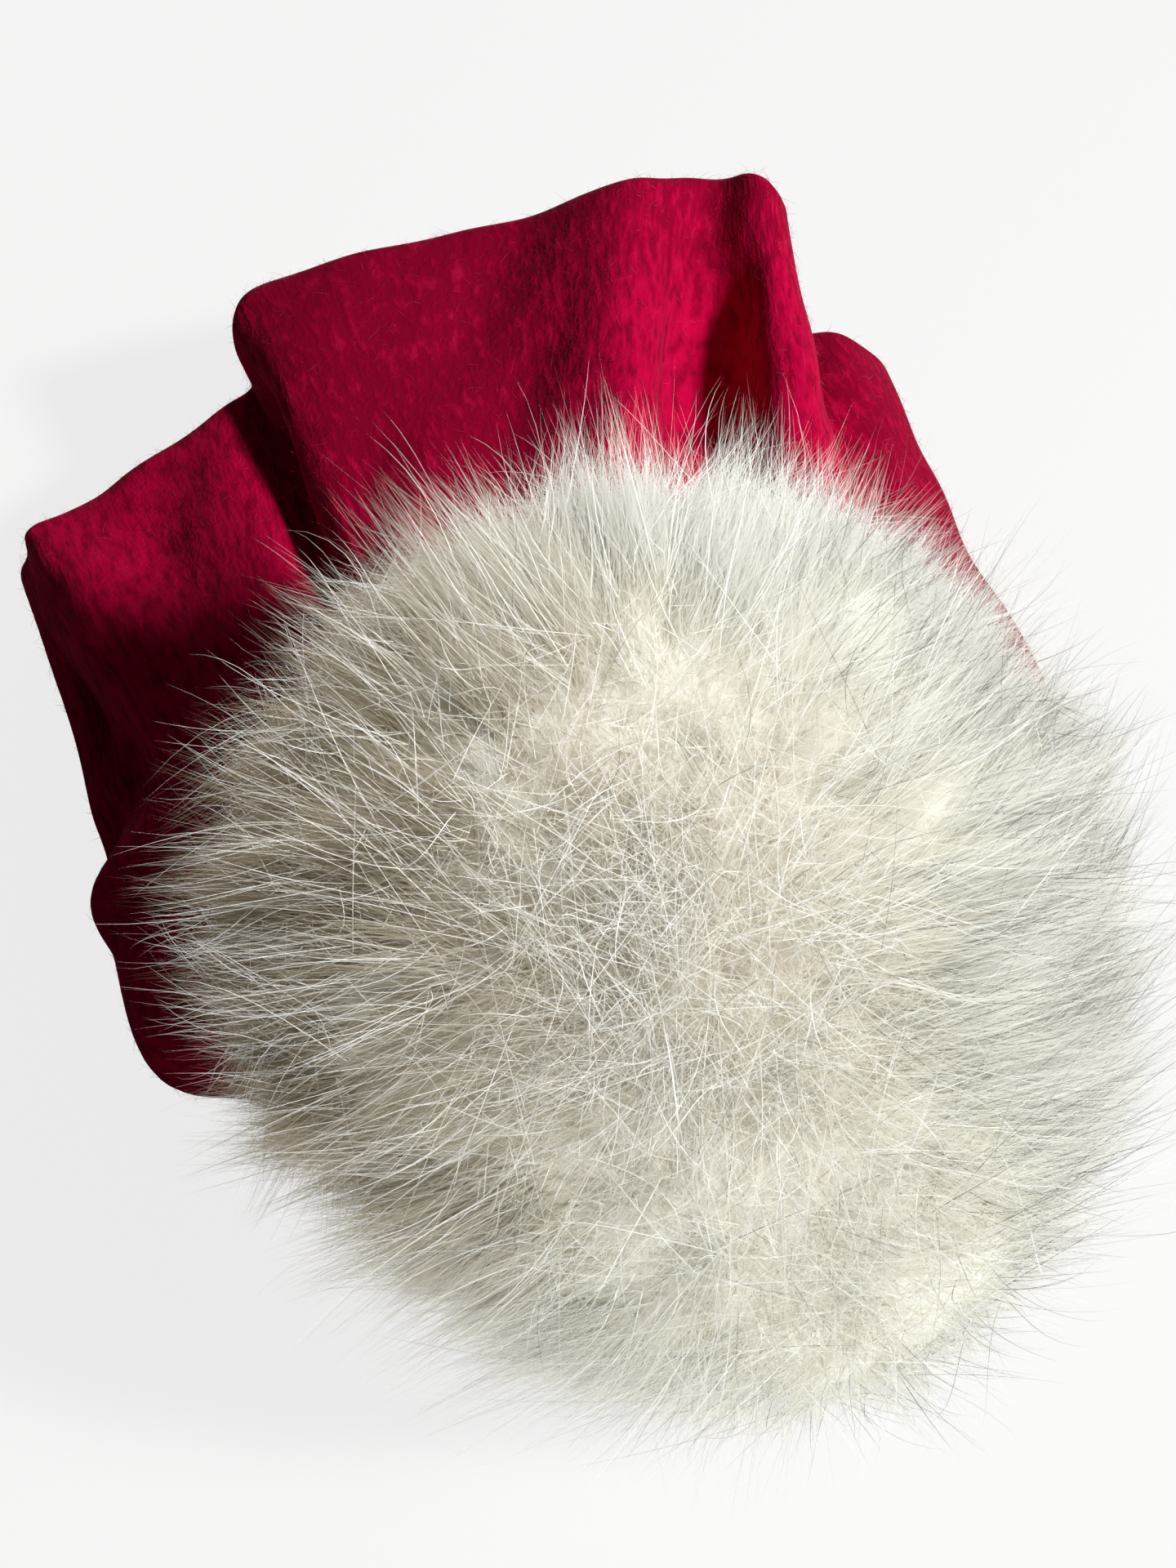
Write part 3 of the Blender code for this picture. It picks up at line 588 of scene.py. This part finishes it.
def roomTable(tree):
    # how far the cloth is from the pompom's centre, over a grid of directions
    tall, wide = 90, 180
    lift = math.pi * (np.arange(tall) + 0.5) / tall - math.pi / 2
    heading = globe(lift, 2 * math.pi * np.arange(wide) / wide)
    centre, far = Vector(pompomCentre + worldShift), 0.3
    hits = [tree.ray_cast(centre, Vector(h), far)[3] for h in heading.reshape(-1, 3)]
    room = np.array([far if hit is None else hit for hit in hits]).reshape(tall, wide)
    for axis in (0, 1):
        room = np.minimum(room, np.minimum(np.roll(room, 1, axis=axis), np.roll(room, -1, axis=axis)))
    return room - pompom["clear"]


def offTie(heading):
    # degrees between each direction and the way back to the gather
    return np.degrees(np.arccos(np.clip(-(heading @ tieAxes()[0]), -1.0, 1.0)))


def roomAt(room, heading):
    # the table read between its four nearest entries, and the hollow at the tie
    tall, wide = room.shape
    row = np.clip((np.arcsin(np.clip(heading[..., 2], -1, 1)) / math.pi + 0.5) * tall - 0.5, 0, tall - 1.001)
    column = (np.arctan2(heading[..., 1], heading[..., 0]) / (2 * math.pi) % 1.0) * wide
    r, c = row.astype(int), column.astype(int) % wide
    a, b, n = row - r, column - np.floor(column), (c + 1) % wide
    low = room[r, c] * (1 - b) + room[r, n] * b
    high = room[r + 1, c] * (1 - b) + room[r + 1, n] * b
    side = np.clip((offTie(heading) - pompom["nestAngle"]) / pompom["nestSlope"], 0.0, 2.0)
    return np.minimum(low * (1 - a) + high * a, pompom["nest"] + side * pompom["radius"])


def settle(points, room):
    # points pressed softly inside the room that cloth and floor leave
    away = points - pompomCentre
    radius = np.linalg.norm(away, axis=-1)
    heading = away / np.maximum(radius, 1e-9)[..., None]
    most = roomAt(room, heading)
    start = pompom["pressFrom"] * most
    over = np.maximum(radius - start, 0.0)
    pressed = start + (most - start) * (1 - np.exp(-over / (most - start)))
    points = pompomCentre + heading * np.where(radius > start, pressed, radius)[..., None]
    low, soft = pompom["floorGap"], pompom["settle"]
    points[..., 2] = low + soft * np.logaddexp(0.0, (points[..., 2] - low) / soft)
    return points


def outline(heading):
    # the radius, shorter or longer round each of the table's sides
    sides = np.array(pompom["outline"])
    near = np.exp(sides[:, 4] * (heading @ unit(sides[:, :3]).T - 1.0))
    return pompom["radius"] * (1 + near @ sides[:, 3])


def partingLean(heading):
    # a direction along the surface away from the nearest parting, and how far off that parting is in radians
    axes = partingAxes()
    near = heading @ axes.T
    weight = np.exp(pompom["partingBlend"] * near)
    weight /= weight.sum(axis=1, keepdims=True)
    pole = unit(weight @ axes)
    away = heading * np.sum(heading * pole, axis=1, keepdims=True) - pole
    return unit(away), np.arccos(np.clip(near.max(axis=1), -1, 1))


def pastParting(angle, fade):
    # 0 at a parting, 1 once it is this many radians behind
    return np.clip((angle - pompom["partingWide"]) / fade, 0.0, 1.0)


def combing(angle):
    # nothing at the parting, all of it half way round, less at the far side
    near, far = 0.35, 2.0
    return (1 - np.exp(-((angle / near) ** 2))) * (0.35 + 0.65 * np.exp(-((angle / far) ** 4)))


def straightRun(heading, direction, root, tip):
    # how far a straight strand runs from the root's radius before it is at the tip's radius
    tip = np.maximum(tip, root * 1.02)
    slope = np.sum(heading * direction, axis=1)
    run = np.sqrt((root * slope) ** 2 + tip**2 - root**2) - root * slope
    return np.minimum(run, pompom["longestRun"] * pompom["radius"])


def furPaths(name, spec, locks, room):
    # a strand leaves the head in a straight line, combed away from the parting, waves a little, and is drawn
    # towards the straight line of its tuft
    rng = np.random.default_rng(spec["seed"])
    heading = evenHeadings(spec["count"], rng)
    if name == "pompom_mat_hairs":
        # three in four of these lie round the partings
        centre = partingAxes()[rng.integers(0, len(pompom["partings"]), spec["count"])]
        matted = unit(centre + rng.normal(size=heading.shape) * 0.22)
        heading = np.where(rng.random((spec["count"], 1)) < 0.75, matted, heading)
    heading = heading[offTie(heading) > pompom["nestAngle"] + 3.0]
    if name in ("pompom_guard_hairs", "pompom_long_hairs"):
        # few of these grow at the partings
        near = partingLean(heading)[1]
        heading = heading[rng.random(len(heading)) < 0.12 + 0.88 * pastParting(near, 0.35)]
    count = len(heading)
    parts = np.array_split(heading, 12)
    owner = np.concatenate([np.argmax(part @ locks["heading"].T, axis=1) for part in parts])
    away, angle = partingLean(heading)
    messy = spec["messy"] + 0.25 * np.exp(-((angle / 0.32) ** 2))  # tangled at the partings
    combed = combing(angle)[:, None] * spec["lean"]
    stray = rng.normal(size=(count, 3)) * messy[:, None]
    direction = unit(away * combed + heading * spec["lift"] + stray + locks["lean"][owner])
    reach = outline(heading)
    root, tip = spec["root"] * reach, rng.uniform(*spec["tip"], size=count) * locks["long"][owner] * reach
    run = straightRun(heading, direction, root, tip)
    base = heading * root[:, None]
    t = np.linspace(0.0, 1.0, spec["steps"])[None, :, None]
    wave = unit(np.cross(direction, rng.normal(size=(count, 3)))) * spec["curl"] * pompom["radius"]
    start = rng.uniform(0, 2 * math.pi, size=(count, 1, 1))
    ripple = np.sin(spec["coil"] * t + start) - np.sin(start)
    path = base[:, None] + (direction * run[:, None])[:, None] * t + wave[:, None] * ripple
    # the tuft's own line, from its own place on the head
    lockHeading = locks["heading"][owner]
    lockWay = unit(locks["away"][owner] * spec["lean"] + lockHeading * spec["lift"] + locks["lean"][owner])
    lockRun = straightRun(lockHeading, lockWay, root, tip)
    line = lockHeading[:, None] * root[:, None, None] + (lockWay * lockRun[:, None])[:, None] * t
    tufted = 0.35 + 0.65 * pastParting(angle, 0.35)[:, None, None]  # less at the partings
    pull = rng.uniform(*spec["gather"], size=(count, 1, 1)) * tufted * t**1.6
    points = settle(pompomCentre + path + (line - path) * np.clip(pull, 0.0, 0.95), room)
    return points + worldShift, heading, angle, rng


def makeLocks():
    # the tufts: where each stands, its own lean, its combing for a lean of 1, and its length
    rng = np.random.default_rng(2)
    heading = evenHeadings(pompom["locks"], rng)
    away, angle = partingLean(heading)
    return {
        "heading": heading,
        "lean": rng.normal(size=heading.shape) * pompom["lockLean"],
        "away": away * combing(angle)[:, None],
        "long": rng.uniform(*pompom["lockLong"], size=len(heading)),
    }


def makeFur(name, spec, locks, room):
    # the strands of one kind; a tint of 0 is white and 1 grey for hairs, for under-fur 0 is pale and 1 tan
    paths, heading, angle, rng = furPaths(name, spec, locks, room)
    count = len(paths)
    side = heading @ cameraAxes()[0]
    if "grey" in spec:
        # white on the left, more grey ones on the right, few of them at the partings; the grey ones are
        # partly the fur's own, partly painted shade for the dark lines between hairs on the lit right side
        share = spec["grey"] * np.clip((side - 0.05) / 0.35, 0.0, 1.0) * pastParting(angle, 0.3)
        grey = rng.random(count) < 0.03 + share
        tint = np.where(grey, 0.90, 0.05) + rng.normal(size=count) * 0.05
    else:
        # more tan at the partings, the fur's own colour, and towards the left, painted shade on the side away
        # from the light
        tan = 0.03 + 0.40 * np.exp(-((angle / 0.40) ** 2)) + 1.20 * np.clip(-side, 0.0, 1.0)
        tint = tan + rng.normal(size=count) * 0.07
    widths = spec["width"] * rng.uniform(0.7, 1.25, size=count)
    return strandPiece(name, paths, widths, np.clip(tint, 0.02, 0.98), rng, heading, spec["soft"])


def makeHead(room):
    # a ball of dense under-fur: latitude rows closed at both poles, pressed by cloth and floor
    tall, wide = pompom["headRows"], pompom["headColumns"]
    lift = math.pi * np.arange(1, tall) / tall - math.pi / 2
    heading = globe(lift, 2 * math.pi * np.arange(wide) / wide).reshape(-1, 3)
    heading = np.concatenate([heading, [[0, 0, -1.0], [0, 0, 1.0]]])
    # ridges that run outwards from the second parting, and a few soft lumps
    pole = partingAxes()[1]
    first = unit(np.cross(pole, (0.0, 0.0, 1.0)))
    second = np.cross(pole, first)
    polar = np.arccos(np.clip(heading @ pole, -1, 1))
    around = unit(np.stack([heading @ first, heading @ second], axis=-1) + 1e-6)
    turn = np.arctan2(around[:, 1], around[:, 0])
    ridges = sum(np.sin(k * turn + a * np.sin(b * polar + c)) for k, a, b, c in pompom["ridges"])
    lumps = sum(np.sin(k * heading @ unit(axis) + c) for k, axis, c in pompom["lumps"])
    radius = pompom["headShare"] + pompom["combed"] * (ridges * np.sin(polar) * 0.5 + lumps * 0.4)
    radius = outline(heading) * radius
    points = settle(pompomCentre + heading * radius[:, None], room) + worldShift
    piece = meshPiece("pompom_head", points, *cappedFaces(tall - 1, wide), None)
    # the way that the fur runs: round the parting as a circle, and away from it
    flow = np.column_stack([around, polar])
    layer = piece.data.attributes.new("flow", "FLOAT_VECTOR", "POINT")
    layer.data.foreach_set("vector", np.ascontiguousarray(flow, np.float32).ravel())
    return piece


# strands, twist and lay: the cord's own strands, how far they stand out, and how fast they wind
tie = {
    "stem": 0.0030, "button": 0.0090, "cap": 0.0075, "thick": 0.0022, "sink": 0.0040, "gap": 0.0003,
    "sides": 40, "stemRows": 20, "edgeRows": 9, "strands": 6, "twist": 0.00025, "lay": 420,
}


def makeTie():
    # a turned profile: button inside the hat, stem through the gather, cap under the fur
    out, right, up = tieAxes()
    start = np.array(hat["gather"]) - out * (hat["wall"] + tie["sink"])
    length = np.linalg.norm(pompomCentre - start) - pompom["nest"] - tie["thick"] - tie["gap"]
    half, bend = tie["thick"] / 2, np.linspace(0, math.pi, tie["edgeRows"])
    stem = np.linspace(0.0002, length - 0.0002, tie["stemRows"])
    place = np.concatenate([-half - half * np.cos(bend), stem, length + half - half * np.cos(bend)])
    button, cap = (tie[end] - half + half * np.sin(bend) for end in ("button", "cap"))
    wide = np.concatenate([button, np.full(len(stem), tie["stem"]), cap])
    angle = 2 * math.pi * np.arange(tie["sides"]) / tie["sides"]
    winding = tie["strands"] * (angle[None, :] - place[:, None] * tie["lay"])
    cord = (place > 0) & (place < length)
    twist = np.where(cord[:, None], tie["twist"] * np.cos(winding), 0.0)
    radial = np.cos(angle)[:, None] * right + np.sin(angle)[:, None] * up
    points = start + out * place[:, None, None] + radial[None] * (wide[:, None] + twist)[:, :, None]
    quads, ends = cappedFaces(*points.shape[:2])
    middles = [start + out * place[0], start + out * place[-1]]
    points = np.concatenate([points.reshape(-1, 3), middles]) + worldShift
    if signedVolume(points, quads) < 0:
        quads, ends = quads[:, ::-1], ends[:, ::-1]
    return meshPiece("pompom_cord", points, quads, ends, None)


def feed(node, values):
    # each socket gets its number or its colour, or a link from another node's output
    for label, value in values.items():
        socket = node.inputs[label]
        if isinstance(value, (int, float)):
            socket.default_value = value
        elif isinstance(value, tuple):
            socket.default_value = (*value, 1.0)
        else:
            node.id_data.links.new(value, socket)


def newGroup(name, inputs, outputs):
    # a node group with these sockets, its nodes, what it is given, and its output node
    group = bpy.data.node_groups.new(name, "ShaderNodeTree")
    for way, sockets in (("INPUT", inputs), ("OUTPUT", outputs)):
        for label, kind in sockets.items():
            group.interface.new_socket(label, in_out=way, socket_type="NodeSocket" + kind)
    nodes = group.nodes
    return group, nodes, nodes.new("NodeGroupInput").outputs, nodes.new("NodeGroupOutput")


def noiseNode(nodes, vector, scale, detail, rough):
    # soft noise from 0 to 1
    node = nodes.new("ShaderNodeTexNoise")
    feed(node, {"Vector": vector, "Scale": scale, "Detail": detail, "Roughness": rough})
    return node.outputs["Fac"]


def rangeNode(nodes, value, low, high, toLow, toHigh):
    # a value between low and high moved to lie between toLow and toHigh
    node = nodes.new("ShaderNodeMapRange")
    feed(node, {"Value": value, "From Min": low, "From Max": high, "To Min": toLow, "To Max": toHigh})
    return node.outputs["Result"]


def mixColour(nodes, share, first, second):
    # the first colour where the share is 0, the second where it is 1
    node = nodes.new("ShaderNodeMix")
    node.data_type = "RGBA"
    feed(node, {0: share, 6: first, 7: second})
    return node.outputs[2]


def mathNode(nodes, first, second, kind="MULTIPLY"):
    # the two multiplied, or joined as kind says
    node = nodes.new("ShaderNodeMath")
    node.operation = kind
    feed(node, {0: first, 1: second})
    return node.outputs[0]


def mixShaders(nodes, share, first, second, out):
    # the first shader where the share is 0, the second where it is 1, on to the output
    node = nodes.new("ShaderNodeMixShader")
    feed(node, {0: share, 1: first.outputs[0], 2: second.outputs[0]})
    feed(out, {"Surface": node.outputs[0]})


def bumpNode(nodes, height, strength, distance):
    # the normal tilted by the slope of a height
    node = nodes.new("ShaderNodeBump")
    feed(node, {"Height": height, "Strength": strength, "Distance": distance})
    return node.outputs[0]


def splitNode(nodes, vector):
    # the three parts of a vector
    node = nodes.new("ShaderNodeSeparateXYZ")
    feed(node, {0: vector})
    return node.outputs


def uvNode(nodes):
    # the piece's own u and v
    node = nodes.new("ShaderNodeUVMap")
    node.uv_map = "OFBake"
    return node.outputs[0]


def buildFeltGroup():
    # felted knit: streaks along the columns, soft mottling, a nap of paler fibres, and painted shade as more
    # dark streaks where its mask asks
    group, nodes, given, out = newGroup(
        "feltedKnit",
        {"Vector": "Vector", "Colour": "Color", "Nap": "Color", "Deep": "Color", "Columns": "Float",
         "Courses": "Float", "Depth": "Float", "Mottle": "Float", "Fine": "Float", "PaintedShade": "Float"},
        {"Colour": "Color", "Height": "Float", "Roughness": "Float"},
    )
    stretch = nodes.new("ShaderNodeCombineXYZ")
    feed(stretch, {0: given["Columns"], 1: given["Courses"], 2: given["Depth"]})
    scaled = nodes.new("ShaderNodeVectorMath")
    scaled.operation = "MULTIPLY"
    feed(scaled, {0: given["Vector"], 1: stretch.outputs[0]})
    streak = noiseNode(nodes, scaled.outputs[0], 1.0, 2.5, 0.55)
    mottle = noiseNode(nodes, scaled.outputs[0], given["Mottle"], 2.0, 0.5)
    fine = noiseNode(nodes, given["Vector"], given["Fine"], 2.0, 0.5)
    # painted shade: the higher its mask, the more of the streaks are dark
    low = mathNode(nodes, mathNode(nodes, given["PaintedShade"], 0.12), 0.34, "ADD")
    high = mathNode(nodes, mathNode(nodes, given["PaintedShade"], 0.22), 0.54, "ADD")
    dark = rangeNode(nodes, streak, low, high, 1.0, 0.0)
    pale = rangeNode(nodes, streak, 0.58, 0.82, 0.0, 0.45)
    broad = rangeNode(nodes, mottle, 0.35, 0.68, 0.0, 0.75)
    shade = given["Colour"]
    for mask, strength, tone in ((dark, 0.72, "Deep"), (broad, 0.32, "Deep"), (pale, fine, "Nap")):
        shade = mixColour(nodes, mathNode(nodes, mask, strength), shade, given[tone])
    height = mathNode(nodes, mathNode(nodes, streak, 0.7), mathNode(nodes, fine, 0.3), "ADD")
    rough = rangeNode(nodes, fine, 0.2, 0.8, 0.85, 1.0)
    feed(out, {"Colour": shade, "Height": height, "Roughness": rough})
    return group


def buildStrandGroup():
    # a strand's colour from its tint across and its place from root to tip
    group, nodes, given, out = newGroup(
        "strandTint",
        {"Place": "Vector", "Pale": "Color", "Tan": "Color", "Root": "Color", "Root Share": "Float"},
        {"Colour": "Color"},
    )
    parts = splitNode(nodes, given["Place"])
    body = mixColour(nodes, parts[0], given["Pale"], given["Tan"])
    near = rangeNode(nodes, parts[1], 0.0, given["Root Share"], 1.0, 0.0)
    feed(out, {"Colour": mixColour(nodes, near, body, given["Root"])})
    return group


def newMaterial(name, colour):
    # a material, its nodes and its main shader
    material = bpy.data.materials.new(name)
    material.use_nodes = True
    material.diffuse_color = (*colour, 1.0)
    nodes = material.node_tree.nodes
    return material, nodes, nodes["Principled BSDF"]


def placeGroup(nodes, group, values):
    # the group with this material's own values, as its outputs
    node = nodes.new("ShaderNodeGroup")
    node.node_tree = group
    feed(node, values)
    return node.outputs


def clothMaterial(felt):
    # felt on the cloth's own u and v, stretched to metres, with painted shade: a darker red where the masks
    # say
    material, nodes, shader = newMaterial("crimsonKnit", hat["colour"])
    place, whole = uvNode(nodes), 2 * hat["clothLength"] + hat["edgesRun"]
    metres = nodes.new("ShaderNodeMapping")
    metres.inputs["Scale"].default_value = (hat["aroundRun"], whole, 1.0)
    feed(metres, {"Vector": place})
    around, along = splitNode(nodes, place)[:2]
    # painted shade between the middle lobe's left corner and the high ridge
    corner, fade = foldTurn["middle left corner"], hat["cornerFade"]
    rise = rangeNode(nodes, around, corner - fade, corner + fade, 0.0, hat["leftPaintedShade"])
    valley, ridge = foldTurn["shallow valley"], foldTurn["high ridge"]
    fall = rangeNode(nodes, around, valley, ridge - hat["ridgeFade"], 1.0, 0.0)
    # painted shade in a band along the rim, from that corner onwards
    lip = (hat["clothLength"] + hat["lipRun"]) / whole
    band = rangeNode(nodes, along, lip, lip + hat["rimBand"], hat["rimPaintedShade"], 0.0)
    # painted shade on the right lobe
    valley, crest = foldTurn["right valley"], foldTurn["right crest"]
    lobe = rangeNode(nodes, around, valley, crest, 0.0, hat["rightPaintedShade"])
    paintedShadeMask = mathNode(nodes, mathNode(nodes, rise, fall), lobe, "MAXIMUM")
    paintedShadeMask = mathNode(nodes, mathNode(nodes, rise, band), paintedShadeMask, "MAXIMUM")
    knit = placeGroup(nodes, felt, {
        "Vector": metres.outputs[0], "PaintedShade": paintedShadeMask,
        "Colour": hat["colour"], "Nap": hat["napColour"], "Deep": hat["deepColour"],
        "Columns": 520.0, "Courses": 150.0, "Depth": 0.0, "Mottle": 0.22, "Fine": 1100.0,
    })
    feed(shader, {
        "Base Color": knit["Colour"], "Roughness": knit["Roughness"], "Specular IOR Level": 0.02,
        "Sheen Weight": 0.22, "Sheen Roughness": 0.30, "Sheen Tint": (1.0, 0.35, 0.45),
        "Normal": bumpNode(nodes, knit["Height"], 0.7, 0.0009),
    })
    return material


def strandMaterial(name, tint, values, rough, through, shine):
    # through is the share of light that passes through a strand
    material, nodes, shader = newMaterial(name, values["Pale"])
    colour = placeGroup(nodes, tint, {"Place": uvNode(nodes), **values})["Colour"]
    feed(shader, {"Base Color": colour, "Roughness": rough, "Specular IOR Level": shine})
    lit = nodes.new("ShaderNodeBsdfTranslucent")
    feed(lit, {"Color": colour})
    mixShaders(nodes, through, shader, lit, nodes["Material Output"])
    return material


def headMaterial(felt):
    # streaks that follow the combing, tan at the second parting
    material, nodes, shader = newMaterial("underFurHead", (0.78, 0.75, 0.67))
    place = nodes.new("ShaderNodeAttribute")
    place.attribute_name = "flow"
    flow = place.outputs["Vector"]
    pale = placeGroup(nodes, felt, {
        "Vector": flow, "Colour": (0.90, 0.885, 0.82), "Nap": (0.94, 0.935, 0.90), "Deep": (0.83, 0.80, 0.71),
        "Columns": 95.0, "Courses": 95.0, "Depth": 9.0, "Mottle": 0.08, "Fine": 60.0,
    })
    warm = rangeNode(nodes, splitNode(nodes, flow)[2], 0.10, 0.75, 0.75, 0.0)
    feed(shader, {
        "Base Color": mixColour(nodes, warm, pale["Colour"], (0.82, 0.75, 0.62)),
        "Normal": bumpNode(nodes, pale["Height"], 0.35, 0.0006),
        "Roughness": 0.9, "Specular IOR Level": 0.05,
    })
    return material


def cordMaterial(felt):
    # the felt's streaks made even in all directions
    material, nodes, shader = newMaterial("paleCord", (0.60, 0.56, 0.50))
    place = nodes.new("ShaderNodeTexCoord")
    cord = placeGroup(nodes, felt, {
        "Vector": place.outputs["Object"],
        "Colour": (0.60, 0.56, 0.50), "Nap": (0.74, 0.71, 0.66), "Deep": (0.38, 0.34, 0.29),
        "Columns": 900.0, "Courses": 900.0, "Depth": 900.0, "Mottle": 0.33, "Fine": 900.0,
    })
    feed(shader, {"Base Color": cord["Colour"], "Roughness": cord["Roughness"], "Specular IOR Level": 0.2})
    return material


aim = pompomCentre + worldShift
makeCamera(aim)
makeLights(aim)
floorPiece = makeFloor()
print("camera, lights and floor made")

felt, tint = buildFeltGroup(), buildStrandGroup()

rows, hatU, hatV = hatRows()
hatPiece = gridPiece("hat_cloth", rows, hatU, hatV)
hatPiece.data.materials.append(clothMaterial(felt))
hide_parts("hat_body")
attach(hatPiece, "root")
print("hat made:", len(hatPiece.data.polygons), "faces")

napPiece = makeNap(rows)
napPiece.data.materials.append(strandMaterial(
    "crimsonNap", tint,
    {"Pale": (0.46, 0.002, 0.040), "Tan": (0.66, 0.12, 0.20), "Root": (0.36, 0.001, 0.02), "Root Share": 0.4},
    rough=0.8, through=0.35, shine=0.05))
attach(napPiece, "root")
print("nap made:", len(napPiece.data.polygons), "faces")

room = roomTable(clothTree(rows[::2, ::2]))
print("room for the fur found")

headPiece = makeHead(room)
headPiece.data.materials.append(headMaterial(felt))
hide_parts("pompom")
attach(headPiece, "root")

locks = makeLocks()
# its tan is the partings' own colour, and painted shade on the left
underFur = strandMaterial(
    "underFur", tint,
    {"Pale": (0.93, 0.94, 0.91), "Tan": (0.62, 0.51, 0.325), "Root": (0.86, 0.82, 0.69), "Root Share": 0.30},
    rough=0.6, through=0.34, shine=0.15)
# its grey is partly the fur's own, partly painted shade on the lit right side
guardHair = strandMaterial(
    "guardHair", tint,
    {"Pale": (0.98, 0.98, 0.96), "Tan": (0.14, 0.14, 0.125), "Root": (0.80, 0.78, 0.71), "Root Share": 0.2},
    rough=0.28, through=0.20, shine=0.6)
furPieces = [headPiece]
for name, spec in fur.items():
    piece = makeFur(name, spec, locks, room)
    piece.data.materials.append(guardHair if "hairs" in name else underFur)
    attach(piece, "root")
    furPieces.append(piece)
    print(name, "made:", len(piece.data.polygons), "faces")
for name in ("furKey", "furLow", "furLeft", "furTop"):
    lightOnly(name, furPieces)
lightOnly("hairs", [piece for piece in furPieces if "hairs" in piece.name])

tiePiece = makeTie()
tiePiece.data.materials.append(cordMaterial(felt))
lightOnly("clothKey", [hatPiece, napPiece, tiePiece, floorPiece])
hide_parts("pompom_tie")
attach(tiePiece, "root")
print("tie made")
